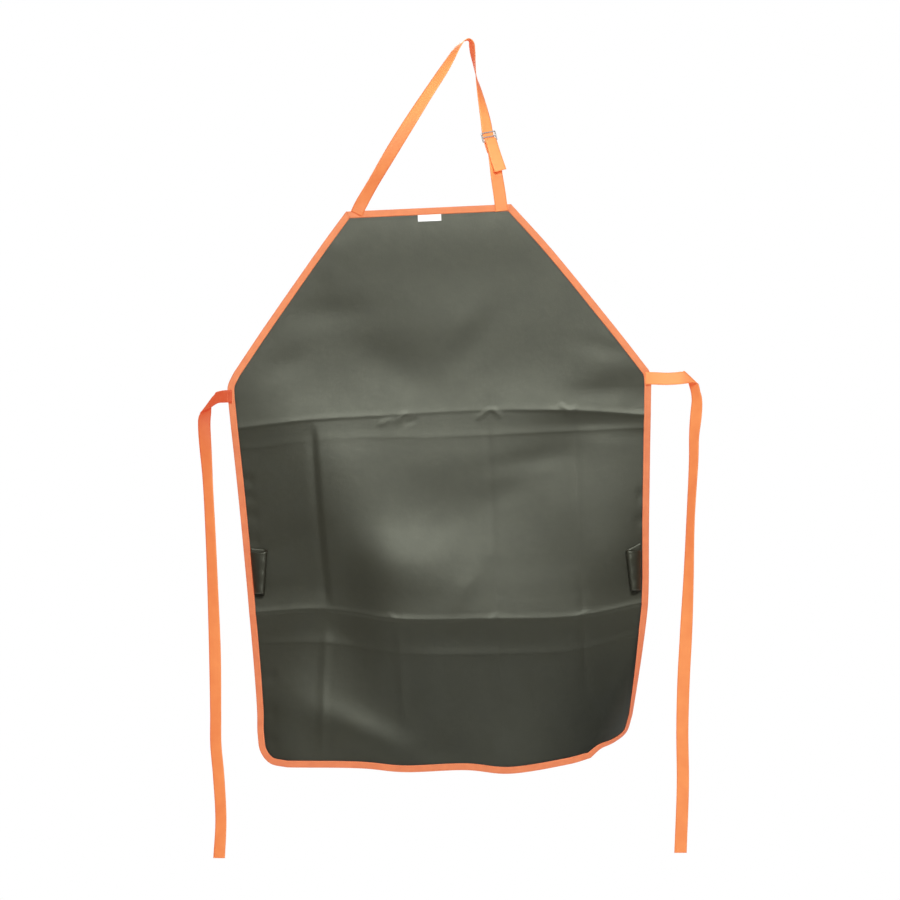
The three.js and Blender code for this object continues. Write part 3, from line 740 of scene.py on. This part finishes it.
def stitch_row(bm, points, normals, length, width):
    """Adds one stitch to bm along each pair of points, lying on the given normals."""
    for k in range(len(points) - 1):
        way = Vector(points[k + 1] - points[k]).normalized()
        up = Vector(normals[k])
        side = up.cross(way).normalized()
        up = way.cross(side)
        middle = Vector((points[k] + points[k + 1]) / 2)
        turn = Matrix((way * length / 2, side * width / 2, up * width / 2)).transposed().to_4x4()
        matrix = Matrix.Translation(middle) @ turn
        bmesh.ops.create_uvsphere(bm, u_segments=6, v_segments=4, radius=1, matrix=matrix)


def slider_axes():
    """The slider's own directions: along its bars, down the strap and out of its front."""
    lean, turn = math.radians(SLIDER_PLACE["lean"]), math.radians(SLIDER_PLACE["turn"])
    outward = np.array([math.sin(lean), 0, math.cos(lean)])
    away = np.array([0, 1, 0])
    bars = outward * math.cos(turn) + away * math.sin(turn)
    down = np.array([math.cos(lean), 0, -math.sin(lean)])
    face = outward * math.sin(turn) - away * math.cos(turn)
    return bars, down, face


def threaded(places):
    """Webbing stations at places of (down, out) in the slider's frame."""
    _, along, face = slider_axes()
    middle = np.array(SLIDER_PLACE["at"])
    lean, turn = SLIDER_PLACE["lean"], SLIDER_PLACE["turn"]
    return [(tuple(middle + along * down + face * out), lean, turn) for down, out in places]


def webbing_rows(stations, step):
    """Middle points, cross lines, face lines and lengths along webbing, at even steps."""
    points = np.array([point for point, _, _ in stations], float)
    leans = np.radians([lean for _, lean, _ in stations])
    turns = np.radians([turn for _, _, turn in stations])
    knots = np.concatenate([[0], np.cumsum(np.sqrt(np.linalg.norm(np.diff(points, axis=0), axis=1)))])

    def at(places):
        return np.column_stack([through(knots, points[:, axis], places) for axis in range(3)])

    order = np.arange(len(knots))
    fine = np.interp(np.linspace(0, order[-1], STATION_POINTS * len(knots)), order, knots)
    lengths = lengths_along(at(fine))
    even = np.linspace(0, lengths[-1], int(round(lengths[-1] / step)) + 1)
    places = np.interp(even, lengths, fine)
    middle = at(places)
    lean, turn = through(knots, leans, places), through(knots, turns, places)
    cross = np.column_stack([np.sin(lean) * np.cos(turn), np.sin(turn), np.cos(lean) * np.cos(turn)])
    way = unit(np.gradient(middle, axis=0))
    face = np.cross(way, cross)
    square = np.linalg.norm(face, axis=1, keepdims=True)
    return middle, cross / np.maximum(square, LEAST_SQUARE), face / square, even


def webbing_piece(name, stations, sizes, step):
    """Flat webbing along its stations, a little cupped. Also gives its middle line and its length."""
    middle, cross, face, even = webbing_rows(stations, step)

    def place(share_across, share_along):
        k = np.rint(share_along * (len(middle) - 1)).astype(int)
        aside = (share_across - 0.5) * sizes.webbing_width
        cup = sizes.webbing_cup * (1 - (2 * share_across - 1) ** 2)
        points = middle[k] + cross[k] * aside[:, None] + face[k] * cup[:, None]
        return points, np.column_stack([share_across * sizes.webbing_width, even[k]])

    piece = grid_piece(name, WEBBING_CELLS, len(middle) - 1, place, sizes.webbing_thickness)
    return piece, middle, even[-1]


def bar_tack(bm, stations, distances, sizes):
    """Adds rows of stitches across a strap's sewn end, at distances from its end."""
    middle, cross, face, even = webbing_rows(stations, TACK_STEP)
    front = -np.sign(face[:, 1:2]) * face
    span = sizes.webbing_width * TACK_SPAN
    count = int(span / sizes.tack_length)
    asides = (np.arange(count + 1) / count - 0.5) * span
    for distance in distances:
        k = int(np.argmin(np.abs(even - distance)))
        lift = sizes.webbing_thickness / 2 + np.sign(face[k] @ front[k]) * sizes.webbing_cup
        points = middle[k] + np.outer(asides, unit(cross[k])) + front[k] * lift
        normals = np.repeat(front[k : k + 1], len(points), axis=0)
        stitch_row(bm, points, normals, sizes.tack_length * TACK_FILL, sizes.stitch_width)


def loop_section(wide, radius, wall):
    """Inward and outward places along a side loop's strip, from its sewn edge round and back."""
    straight = np.linspace((0, 0), (wide - radius, 0), LOOP_POINTS["straight"])
    angle = np.linspace(-math.pi / 2, math.pi / 2, LOOP_POINTS["bend"])[1:]
    bend = np.column_stack([wide - radius + radius * np.cos(angle), radius + radius * np.sin(angle)])
    share = np.linspace(0, 1, LOOP_POINTS["front"])[1:, None]
    swell = np.array([LOOP_SWELL["inward"] * wide, LOOP_SWELL["outward"] * radius])
    close = np.array([0, wall + LOOP_GAP])
    front = (1 - share) ** 2 * bend[-1] + 2 * share * (1 - share) * swell + share**2 * close
    line = np.vstack([straight, bend, front])
    return line, lengths_along(line)


def side_loop(name, loop, sizes):
    """One side loop: a strip that runs in along the panel, turns and comes back in front of it."""
    top, bottom = loop["top"], loop["bottom"]
    inwards = math.copysign(1, top["fold"] - top["edge"])

    def place(share_around, share_up):
        share = 1 - share_up
        at = {column: top[column] + (bottom[column] - top[column]) * share for column in top}
        turn = share_around if inwards > 0 else 1 - share_around
        inside, out, length = np.zeros((3, share.size))
        for height in np.unique(share):
            row = share == height
            wide = abs(at["fold"][row][0] - at["edge"][row][0])
            line, lengths = loop_section(wide, at["gape"][row][0] / 2, sizes.loop_thickness)
            length[row] = turn[row] * lengths[-1]
            inside[row] = np.interp(length[row], lengths, line[:, 0])
            out[row] = np.interp(length[row], lengths, line[:, 1])
        across = at["edge"] + inwards * inside
        rise = 1 - smooth_step(*LOOP_TURN, turn)
        reach = np.abs(at["fold"] - at["edge"])
        back_rise = rise * loop["back_rise"] * (1 - inside / reach)
        lift = (1 - share) * (back_rise - (1 - rise) * loop["front_sag"])
        down = at["drop"] - lift
        wave = np.sin(LOOP_WRINKLE["down"] * down + LOOP_WRINKLE["along"] * length)
        wrinkle = LOOP_WRINKLE["height"] * wave * np.clip(inside / reach, 0, 1)
        points = hung(across, down)
        points[:, 1] -= sizes.cloth_thickness / 2 + LOOP_REST + out + wrinkle
        return points, np.column_stack([length, down])

    return grid_piece(name, LOOP_CELLS["around"], LOOP_CELLS["tall"], place, sizes.loop_thickness)


# Finishes


# Noise: how rough it is, and the range that it mostly keeps to, alone and with ribs on it
NOISE_ROUGHNESS = 0.55
NOISE_RANGE = (0.3, 0.7)
RIBBED_RANGE = (0.25, 0.75)


def new_material(name):
    """A material with its node tree and its shader."""
    material = bpy.data.materials.new(name)
    material.use_nodes = True
    tree = material.node_tree
    return material, tree, tree.nodes["Principled BSDF"]


def add_node(tree, kind, settings=None, **values):
    """A node with its settings, whose named inputs are set or linked."""
    made = tree.nodes.new(kind)
    for key, value in (settings or {}).items():
        setattr(made, key, value)
    for key, value in values.items():
        feed(tree, made.inputs[key], value)
    return made


def feed(tree, socket, value):
    """Sets a socket, or links another socket to it."""
    if isinstance(value, bpy.types.NodeSocket):
        tree.links.new(value, socket)
    else:
        socket.default_value = value


def finish(tree, shader, values):
    """Sets the shader's sockets, or links others to them."""
    for key, value in values.items():
        feed(tree, shader.inputs[key], value)


def reckon(tree, operation, first, second=0.0):
    """The output of a Math node."""
    made = tree.nodes.new("ShaderNodeMath")
    made.operation = operation
    feed(tree, made.inputs[0], first)
    feed(tree, made.inputs[1], second)
    return made.outputs[0]


def cloth_plane(tree):
    """A piece's own UV, in metres, with its places across and along."""
    uv = add_node(tree, "ShaderNodeUVMap", {"uv_map": "Cloth"}).outputs["UV"]
    parts = add_node(tree, "ShaderNodeSeparateXYZ", Vector=uv)
    return uv, parts.outputs["X"], parts.outputs["Y"]


def ripple(tree, place, pitch):
    """A sine wave of that pitch along a place."""
    return reckon(tree, "SINE", reckon(tree, "MULTIPLY", place, 2 * math.pi / pitch))


def woven(tree, across, across_pitch, along, along_pitch):
    """Waves of two pitches across and along that cross each other."""
    return reckon(tree, "MULTIPLY", ripple(tree, across, across_pitch), ripple(tree, along, along_pitch))


def blotches(tree, vector, scale, detail=4.0):
    """Noise of about that many blotches to the metre."""
    values = {"Vector": vector, "Scale": scale, "Detail": detail, "Roughness": NOISE_ROUGHNESS}
    return add_node(tree, "ShaderNodeTexNoise", **values).outputs["Fac"]


def ranged(tree, value, low, high, to_low, to_high):
    """A value taken from one range to another."""
    values = {"Value": value, "From Min": low, "From Max": high, "To Min": to_low, "To Max": to_high}
    return add_node(tree, "ShaderNodeMapRange", **values).outputs["Result"]


def spread(tree, noise, to_low, to_high):
    """Noise taken from the range that it mostly keeps to, to another."""
    return ranged(tree, noise, *NOISE_RANGE, to_low, to_high)


def shaded(tree, value, colour, dark, light):
    """A colour that runs from dark to light times itself as a value goes from 0 to 1."""
    ramp = add_node(tree, "ShaderNodeValToRGB", Fac=value)
    for stop, share in zip(ramp.color_ramp.elements, (dark, light)):
        stop.color = [min(1, channel * share) for channel in colour] + [1]
    return ramp.outputs["Color"]


def raised(tree, height, distance, strength=1.0, below=None):
    """A bump from a height, on top of another bump below it."""
    bump = add_node(tree, "ShaderNodeBump", Height=height, Distance=distance, Strength=strength)
    if below:
        tree.links.new(below, bump.inputs["Normal"])
    return bump.outputs["Normal"]


def zoned(tree, tint, zones):
    """A tint with painted shade and painted light: made deeper or paler in zones of the apron."""
    place = add_node(tree, "ShaderNodeTexCoord").outputs["Object"]
    parts = add_node(tree, "ShaderNodeSeparateXYZ", Vector=place)
    for foot, head, left, right, change in zones.values():
        here = ranged(tree, parts.outputs["Z"], *foot, 0, change)
        for axis, ends, first, last in (("Z", head, 1, 0), ("X", left, 0, 1), ("X", right, 1, 0)):
            here = reckon(tree, "MULTIPLY", here, ranged(tree, parts.outputs[axis], *ends, first, last))
        tint = reckon(tree, "ADD", tint, here)
    return tint


def coated_cloth(colours):
    """Dark olive cloth with a waxy coating: a tight weave, faint rubs, soft crumples and painted shade."""
    material, tree, shader = new_material("Olive coated cloth")
    uv, across, along = cloth_plane(tree)
    weave = woven(tree, across, 0.0011, along, 0.0011)
    rub = blotches(tree, uv, 26, detail=5)
    # Painted crevice shade: the Rim attribute darkens the cloth's tint beside the tape's inner edge
    rim_shade = add_node(tree, "ShaderNodeAttribute", {"attribute_name": "Rim"}).outputs["Fac"]
    # Faint rubs, with painted shade that darkens the skirt and the rolled-back corner
    rubs_and_painted_shade = zoned(tree, spread(tree, rub, 0.75, 1), CLOTH_SHADE_ZONES)
    tint = reckon(tree, "SUBTRACT", rubs_and_painted_shade, reckon(tree, "MULTIPLY", rim_shade, RIM_SHADE_STRENGTH))
    crumple = raised(tree, blotches(tree, uv, 85), 0.0004, strength=0.4)
    finish(tree, shader, {
        "Base Color": shaded(tree, tint, colours.cloth, dark=0, light=1.14),
        "Roughness": spread(tree, rub, 0.48, 0.42),
        "Specular IOR Level": 0.70,
        "Specular Tint": (0.95, 1.0, 0.82, 1.0),
        "Normal": raised(tree, weave, 0.00006, strength=0.4, below=crumple),
    })
    return material


def woven_webbing(colours):
    """Bright orange webbing: ribs in a basket weave, a little fading, painted shade and light, and a
    painted glow.
    """
    material, tree, shader = new_material("Orange webbing")
    uv, across, along = cloth_plane(tree)
    basket = woven(tree, across, 0.0030, along, 0.0034)
    ribs = reckon(tree, "ADD", basket, reckon(tree, "MULTIPLY", ripple(tree, along, 0.0017), 0.5))
    fade = blotches(tree, uv, 30)
    shade = reckon(tree, "ADD", reckon(tree, "MULTIPLY", ribs, 0.08), fade)
    # Painted shade and painted light from the webbing zones
    tint = zoned(tree, ranged(tree, shade, *RIBBED_RANGE, 0.46, 0.60), WEBBING_SHADE_AND_LIGHT_ZONES)
    finish(tree, shader, {
        "Base Color": shaded(tree, tint, colours.webbing, dark=0.12, light=1.68),
        "Roughness": spread(tree, fade, 0.55, 0.65),
        "Specular IOR Level": 0.3,
        "Sheen Weight": 0.15,
        "Sheen Roughness": 0.4,
        # Painted glow: emission that keeps the webbing red-bright in shade
        "Emission Color": (*colours.painted_glow, 1),
        "Emission Strength": 0.60,
        "Normal": raised(tree, ribs, 0.00022, strength=0.12),
    })
    return material


def ribbed_tape(colours):
    """Orange binding tape with fine ribs across it, painted shade on its sides and hem, and a painted glow.
    """
    material, tree, shader = new_material("Orange tape")
    uv, _, along = cloth_plane(tree)
    ribs = ripple(tree, along, 0.0014)
    fade = blotches(tree, uv, 45)
    shade = reckon(tree, "ADD", reckon(tree, "MULTIPLY", ribs, 0.10), fade)
    # Painted shade from the tape zones
    tint = zoned(tree, ranged(tree, shade, *RIBBED_RANGE, 0.7, 1), TAPE_SHADE_ZONES)
    finish(tree, shader, {
        "Base Color": shaded(tree, tint, colours.tape, dark=0.30, light=1.10),
        "Roughness": spread(tree, fade, 0.66, 0.78),
        "Specular IOR Level": 0.3,
        "Sheen Weight": 0.2,
        # Painted glow: emission that keeps the tape red-bright in shade
        "Emission Color": (*colours.painted_glow, 1),
        "Emission Strength": 0.40,
        "Normal": raised(tree, ribs, 0.00012, strength=0.6),
    })
    return material


def sewing_thread(colours):
    """Orange thread with a twist."""
    material, tree, shader = new_material("Orange thread")
    twist = blotches(tree, add_node(tree, "ShaderNodeTexCoord").outputs["Object"], 1500, detail=2)
    finish(tree, shader, {
        "Base Color": shaded(tree, twist, colours.thread, dark=0.8, light=1.15),
        "Roughness": spread(tree, twist, 0.5, 0.65),
    })
    return material


def label_satin(colours):
    """White woven label, bare."""
    material, tree, shader = new_material("Label satin")
    uv, across, along = cloth_plane(tree)
    wear = blotches(tree, uv, 120)
    finish(tree, shader, {
        "Base Color": shaded(tree, wear, colours.label, dark=0.94, light=1.02),
        "Roughness": spread(tree, wear, 0.5, 0.62),
        "Normal": raised(tree, woven(tree, across, 0.0009, along, 0.0007), 0.00006, strength=0.5),
    })
    return material


def brushed_metal(colours):
    """Plated metal, brushed and a little worn."""
    material, tree, shader = new_material("Slider metal")
    place = add_node(tree, "ShaderNodeTexCoord").outputs["Object"]
    brushing = add_node(tree, "ShaderNodeMapping", Vector=place, Scale=(300, 300, 3000)).outputs["Vector"]
    marks = blotches(tree, brushing, 1.0)
    wear = blotches(tree, place, 260)
    finish(tree, shader, {
        "Base Color": shaded(tree, wear, colours.metal, dark=0.82, light=1.06),
        "Roughness": spread(tree, marks, 0.24, 0.42),
        "Metallic": 0.55,
        "Normal": raised(tree, marks, 0.00003, strength=0.3),
    })
    return material


def pale_floor(colours):
    """Plain pale floor."""
    material, tree, shader = new_material("Pale floor")
    grain = blotches(tree, add_node(tree, "ShaderNodeTexCoord").outputs["Object"], 40)
    finish(tree, shader, {
        "Base Color": shaded(tree, grain, colours.floor, dark=0.985, light=1.01),
        "Roughness": 0.85,
    })
    return material


def finish_of(name, make):
    """A finish by name, made the first time that a piece asks for it."""
    return bpy.data.materials.get(name) or make(bpy.context.scene.apron_colours)


# What a user may change


def length_of(name, description, default):
    """A length, in metres, that a user may change."""
    return FloatProperty(name=name, description=description, default=default, unit="LENGTH", precision=4)


def colour_of(name, description, default):
    """A colour that a user may change."""
    return FloatVectorProperty(name=name, description=description, default=default, subtype="COLOR")


class ApronSizes(bpy.types.PropertyGroup):
    """Sizes of the apron's cloth, tape, webbing, metal and stitches"""

    cloth_thickness: length_of("Cloth", "Thickness of the coated cloth", 0.0012)
    tape_width: length_of("Tape width", "Width of the edge tape on each face", 0.012)
    tape_thickness: length_of("Tape", "Thickness of the edge tape", 0.0008)
    webbing_width: length_of("Webbing width", "Width of the straps and ties", 0.0225)
    webbing_thickness: length_of("Webbing", "Thickness of the straps and ties", 0.0012)
    webbing_cup: length_of("Webbing cup", "How far webbing cups across its width", 0.0003)
    loop_thickness: length_of("Side loops", "Thickness of the side loops' cloth", 0.0010)
    label_width: length_of("Label width", "Width of the label", 0.042)
    label_drop: length_of("Label drop", "How far the label shows below the tape", 0.012)
    slider_width: length_of("Slider width", "Length of the slider's bars", 0.031)
    slider_inside: length_of("Slider opening", "Width of the slider's slots", 0.026)
    slider_bar: length_of("Slider bar", "Width of each of the slider's bars", 0.0022)
    slider_thickness: length_of("Slider thickness", "Thickness of the slider", 0.0020)
    slider_corner: length_of("Slider corner", "Radius of the slider's corners", 0.0025)
    stitch_pitch: length_of("Stitch pitch", "Distance from stitch to stitch along the tape", 0.0036)
    stitch_inset: length_of("Stitch inset", "Distance of the seam from the tape's inner edge", 0.0018)
    stitch_width: length_of("Thread", "Thickness of the thread", 0.0006)
    tack_length: length_of("Tack stitch", "Length of the stitches in a bar tack", 0.0022)

    def tape_offset(self):
        """From the cloth's middle to the middle of the tape on it."""
        return self.cloth_thickness / 2 + self.tape_thickness / 2 + SEWN_GAP


class ApronColours(bpy.types.PropertyGroup):
    """Colours of the apron's finishes and of the floor"""

    cloth: colour_of("Cloth", "Dark olive of the coated cloth", (0.0155, 0.0143, 0.0088))
    webbing: colour_of("Webbing", "Bright orange of the straps and ties", (0.30, 0.235, 0.075))
    # Painted glow: red emission on the webbing and tape, not a lamp, that keeps them red-bright in shade
    painted_glow: colour_of("Glow", "Red that the bright orange dye gives back", (1.0, 0.05, 0.01))
    tape: colour_of("Tape", "Paler orange of the edge tape", (0.38, 0.205, 0.088))
    thread: colour_of("Thread", "Orange of the sewing thread", (0.85, 0.24, 0.08))
    label: colour_of("Label", "White of the label", (0.86, 0.85, 0.83))
    metal: colour_of("Metal", "Metal of the slider", (0.55, 0.51, 0.48))
    floor: colour_of("Floor", "Pale floor", (0.90, 0.90, 0.89))


class ApronStage(bpy.types.PropertyGroup):
    """Light, floor and camera round the apron"""

    key_power: FloatProperty(
        name="Key light", description="Power of the large soft light", default=172, unit="POWER"
    )
    fill: FloatProperty(
        name="Fill", description="Brightness of the room all round", default=0.06, min=0
    )
    camera_distance: length_of("Camera distance", "From the camera to the apron", 6.0)
    floor_drop: length_of("Floor drop", "How far the floor is below the hanging point", 1.9)


# Operators, one for each piece or group of like pieces


class APRON_OT_panel(bpy.types.Operator):
    """Hangs the bib and skirt, one sheet of coated cloth"""

    bl_idname = "apron.panel"
    bl_label = "Panel"

    def execute(self, context):
        sizes = context.scene.apron_sizes
        margin = sizes.tape_thickness + EDGE_GAP

        def place(share_across, share_up):
            across, down = panel_places(share_across, share_up, margin)
            return hung(across, down), np.column_stack([across, -down])

        panel = grid_piece("panel_cloth", PANEL_COLUMNS, sum(ROW_CELLS), place, sizes.cloth_thickness)
        shade_rim(panel.data, sizes.tape_width)
        dress(panel, "olive_cloth", finish_of("Olive coated cloth", coated_cloth), "apron_panel")
        return {"FINISHED"}


class APRON_OT_tapes(bpy.types.Operator):
    """Folds the tape over the panel's edges and sews it down"""

    bl_idname = "apron.tapes"
    bl_label = "Edge tapes"

    def execute(self, context):
        sizes = context.scene.apron_sizes
        top = tape_path([TOP_EDGE])
        sides = tape_path(RIGHT_EDGE + HEM + LEFT_EDGE)
        runs = {
            "top_tape": ("top_binding", top, mitres(top, sides[-2], sides[1])),
            "edge_tape": ("edge_binding", sides, mitres(sides, top[-2], top[1])),
        }
        for name, (node, path, ways) in runs.items():
            tape = folded_tape(name, path, ways, sizes)
            dress(tape, "orange_tape", finish_of("Orange tape", ribbed_tape), node)
            for face, side in (("front", 1), ("back", -1)):
                seam = self.sew(f"{name}_seam_{face}", path, ways, side, sizes)
                dress(seam, "orange_tape", finish_of("Orange thread", sewing_thread))
        return {"FINISHED"}

    def sew(self, name, path, ways, side, sizes):
        """A thread that comes up through the tape and goes down again, stitch by stitch."""
        length = lengths_along(path)
        reach = length[-1] - 2 * sizes.tape_width
        stitches = int(reach / sizes.stitch_pitch)
        skin = side * (sizes.tape_offset() + sizes.tape_thickness / 2)

        def place(share_across, share_along):
            at = sizes.tape_width + share_along * reach
            spots = np.column_stack([np.interp(at, length, path[:, k]) for k in range(2)])
            inward = np.column_stack([np.interp(at, length, ways[:, k]) for k in range(2)])
            by_across, by_down = slopes(spots[:, 0], spots[:, 1])
            depth = sizes.tape_width - sizes.stitch_inset + (share_across - 0.5) * sizes.stitch_width
            spots = spots + inward * (depth / np.sqrt(1 + by_across**2 + by_down**2))[:, None]
            rise = SEAM["rise"] * (1 - np.abs(2 * share_across - 1))
            dip = SEAM["dip"] * np.abs(np.cos(math.pi * share_along * stitches)) ** SEAM["sharpness"]
            off = skin + side * sizes.stitch_width * (rise - dip)
            return hung(spots[:, 0], spots[:, 1], off), np.column_stack([depth, at])

        return grid_piece(name, 2, stitches * SEAM["cells"], place, sizes.stitch_width / 2)


class APRON_OT_neck_straps(bpy.types.Operator):
    """Leads the neck strap over the hanging point and through the slider, and loops the anchor strap"""

    bl_idname = "apron.neck_straps"
    bl_label = "Neck straps"

    def execute(self, context):
        sizes = context.scene.apron_sizes
        webbing = finish_of("Orange webbing", woven_webbing)
        angles = np.radians(BAR_STOPS)
        round_bar = list(zip(LOWER_BAR - ROUND_BAR * np.sin(angles), ROUND_BAR * np.cos(angles)))
        neck = NECK_FROM_BIB + threaded(THREADING) + NECK_TAIL
        anchor = ANCHOR_FROM_BIB + threaded(ANCHOR_FORE + round_bar + ANCHOR_REAR)
        strap, _, _ = webbing_piece("neck_webbing", neck, sizes, NECK_STEP)
        dress(strap, "orange_webbing", webbing, "neck_strap")
        short, _, _ = webbing_piece("anchor_webbing", anchor, sizes, ANCHOR_STEP)
        dress(short, "orange_webbing", webbing, "anchor_strap")
        tacks = bmesh.new()
        for stations in (neck, anchor):
            bar_tack(tacks, stations, TACK_ROWS, sizes)
        dress(bmesh_piece("neck_tacks", tacks), "orange_webbing", finish_of("Orange thread", sewing_thread))
        return {"FINISHED"}


class APRON_OT_slider(bpy.types.Operator):
    """Makes the metal slider with its three bars"""

    bl_idname = "apron.slider"
    bl_label = "Slider"

    def execute(self, context):
        sizes = context.scene.apron_sizes
        half, slot, bar = sizes.slider_width / 2, sizes.slider_inside / 2, sizes.slider_bar / 2
        columns = (-half, -slot, slot, half)
        rows = (-LOWER_BAR - bar, -LOWER_BAR + bar, -bar, bar, LOWER_BAR - bar, LOWER_BAR + bar)
        wide, tall = len(columns) - 1, len(rows) - 1
        bm = bmesh.new()
        bmesh.ops.create_grid(bm, x_segments=wide, y_segments=tall, size=0.5)
        for vert in bm.verts:
            vert.co.x = columns[round((vert.co.x + 0.5) * wide)]
            vert.co.y = rows[round((vert.co.y + 0.5) * tall)]
        middles = {face: face.calc_center_median() for face in bm.faces}
        slots = [f for f, at in middles.items() if abs(at.x) < slot and bar < abs(at.y) < LOWER_BAR - bar]
        bmesh.ops.delete(bm, geom=slots, context="FACES")
        corners = [v for v in bm.verts if abs(v.co.x) > (slot + half) / 2 and abs(v.co.y) > LOWER_BAR]
        bmesh.ops.bevel(
            bm, geom=corners, offset=sizes.slider_corner, affect="VERTICES", segments=6, profile=0.5,
            material=-1
        )
        bmesh.ops.solidify(bm, geom=bm.faces[:], thickness=sizes.slider_thickness)
        low, high = (pick(vert.co.z for vert in bm.verts) for pick in (min, max))
        bmesh.ops.translate(bm, verts=bm.verts, vec=(0, 0, -(low + high) / 2))
        bmesh.ops.recalc_face_normals(bm, faces=bm.faces)
        sharp = [edge for edge in bm.edges if edge.calc_face_angle(0) > SLIDER_SHARP]
        bmesh.ops.bevel(
            bm, geom=sharp, offset=sizes.slider_thickness * SLIDER_ROUNDING, affect="EDGES", segments=3,
            profile=0.5, material=-1, clamp_overlap=True
        )
        bars, down, face = slider_axes()
        turned = Matrix((bars, -down, face)).transposed().to_4x4()
        bmesh.ops.transform(bm, matrix=Matrix.Translation(SLIDER_PLACE["at"]) @ turned, verts=bm.verts)
        slider = bmesh_piece("slider_frame", bm)
        dress(slider, "slider_metal", finish_of("Slider metal", brushed_metal), "slider_buckle")
        return {"FINISHED"}


class APRON_OT_waist_ties(bpy.types.Operator):
    """Hangs the two free waist ties from the waist corners"""

    bl_idname = "apron.waist_ties"
    bl_label = "Waist ties"

    def execute(self, context):
        sizes = context.scene.apron_sizes
        tacks = bmesh.new()
        for side, stations in (("left", TIE_LEFT), ("right", TIE_RIGHT)):
            tie, middle, length = webbing_piece(f"tie_webbing_{side}", stations, sizes, TIE_STEP)
            dress(tie, "orange_webbing", finish_of("Orange webbing", woven_webbing), f"waist_tie_{side}")
            bar_tack(tacks, stations, TACK_ROWS, sizes)
        dress(bmesh_piece("tie_tacks", tacks), "orange_webbing", finish_of("Orange thread", sewing_thread))
        return {"FINISHED"}


class APRON_OT_label(bpy.types.Operator):
    """Sews the bare label in under the top tape"""

    bl_idname = "apron.label"
    bl_label = "Label"

    def execute(self, context):
        sizes = context.scene.apron_sizes
        top = sizes.tape_width - LABEL_TUCK
        off = sizes.cloth_thickness / 2 + LABEL_THICKNESS / 2 + SEWN_GAP

        def place(share_across, share_up):
            across = LABEL_MIDDLE + (share_across - 0.5) * sizes.label_width
            down = top + (1 - share_up) * (sizes.label_drop + LABEL_TUCK)
            wave = 1 + LABEL_WAVE["share"] * np.sin(LABEL_WAVE["turn"] * share_across)
            curl = LABEL_CURL * (1 - share_up) ** 2 * wave
            return hung(across, down, off + curl), np.column_stack([across, -down])

        label = grid_piece("label_patch", *LABEL_CELLS, place, LABEL_THICKNESS)
        dress(label, "label_cloth", finish_of("Label satin", label_satin), "label")
        return {"FINISHED"}


class APRON_OT_side_loops(bpy.types.Operator):
    """Sets the two cloth loops into the side edges"""

    bl_idname = "apron.side_loops"
    bl_label = "Side loops"

    def execute(self, context):
        sizes = context.scene.apron_sizes
        for side, loop in SIDE_LOOPS.items():
            piece = side_loop(f"loop_cloth_{side}", loop, sizes)
            dress(piece, "olive_cloth", finish_of("Olive coated cloth", coated_cloth), f"side_loop_{side}")
        return {"FINISHED"}


class APRON_OT_stage(bpy.types.Operator):
    """Sets up the pale floor, the soft studio light and the camera"""

    bl_idname = "apron.stage"
    bl_label = "Stage"

    def execute(self, context):
        scene, stage = context.scene, context.scene.apron_stage
        bm = bmesh.new()
        under = Matrix.Translation((VIEW_CENTRE[0], 0, -stage.floor_drop))
        bmesh.ops.create_circle(bm, cap_ends=True, segments=96, radius=FLOOR_RADIUS, matrix=under)
        floor = bmesh_piece("floor", bm)
        floor.data.materials.append(pale_floor(scene.apron_colours))
        for name, (place, aim, size, share) in LIGHTS.items():
            lamp = bpy.data.lights.new(name, "AREA")
            lamp.shape = "RECTANGLE"
            lamp.size, lamp.size_y = size
            lamp.energy = stage.key_power * share
            light = add_object(name, lamp)
            light.location = place
            light.rotation_euler = (Vector(aim) - Vector(place)).to_track_quat("-Z", "Y").to_euler()
        self.room(scene, stage.fill)
        camera = bpy.data.cameras.new("Camera")
        camera.sensor_width = SENSOR
        camera.lens = SENSOR * stage.camera_distance / VIEW_WIDTH
        view = add_object("Camera", camera)
        view.location = (VIEW_CENTRE[0], -stage.camera_distance, VIEW_CENTRE[1])
        view.rotation_euler = (math.pi / 2, 0, 0)
        scene.camera = view
        scene.view_settings.view_transform = "Standard"
        return {"FINISHED"}

    def room(self, scene, fill):
        """A white room to look at, which lights the apron softly."""
        world = bpy.data.worlds.new("Room")
        world.use_nodes = True
        scene.world = world
        tree = world.node_tree
        seen = add_node(tree, "ShaderNodeLightPath").outputs["Is Camera Ray"]
        strength = ranged(tree, seen, 0, 1, fill, 1)
        back = tree.nodes["Background"]
        back.inputs["Color"].default_value = (1, 1, 1, 1)
        tree.links.new(strength, back.inputs["Strength"])


OPERATORS = (
    APRON_OT_panel, APRON_OT_tapes, APRON_OT_neck_straps, APRON_OT_slider, APRON_OT_waist_ties,
    APRON_OT_label, APRON_OT_side_loops, APRON_OT_stage,
)


class APRON_PT_sidebar(bpy.types.Panel):
    """Sizes, colours and pieces of the apron"""

    bl_idname = "APRON_PT_sidebar"
    bl_label = "Hunting Apron"
    bl_space_type = "VIEW_3D"
    bl_region_type = "UI"
    bl_category = "Apron"

    def draw(self, context):
        for group in GROUPS:
            box = self.layout.box()
            values = getattr(context.scene, group)
            for key in values.__annotations__:
                box.prop(values, key)
        for operator in OPERATORS:
            self.layout.operator(operator.bl_idname)


GROUPS = {"apron_sizes": ApronSizes, "apron_colours": ApronColours, "apron_stage": ApronStage}


def register():
    for kind in (*GROUPS.values(), *OPERATORS, APRON_PT_sidebar):
        bpy.utils.register_class(kind)
    for name, group in GROUPS.items():
        setattr(bpy.types.Scene, name, PointerProperty(type=group))


def unregister():
    for name in GROUPS:
        delattr(bpy.types.Scene, name)
    for kind in reversed((*GROUPS.values(), *OPERATORS, APRON_PT_sidebar)):
        bpy.utils.unregister_class(kind)


def main():
    register()
    bpy.ops.apron.stage()
    bpy.ops.apron.waist_ties()
    bpy.ops.apron.panel()
    bpy.ops.apron.tapes()
    bpy.ops.apron.neck_straps()
    bpy.ops.apron.slider()
    bpy.ops.apron.label()
    bpy.ops.apron.side_loops()


if __name__ == "__main__":
    main()
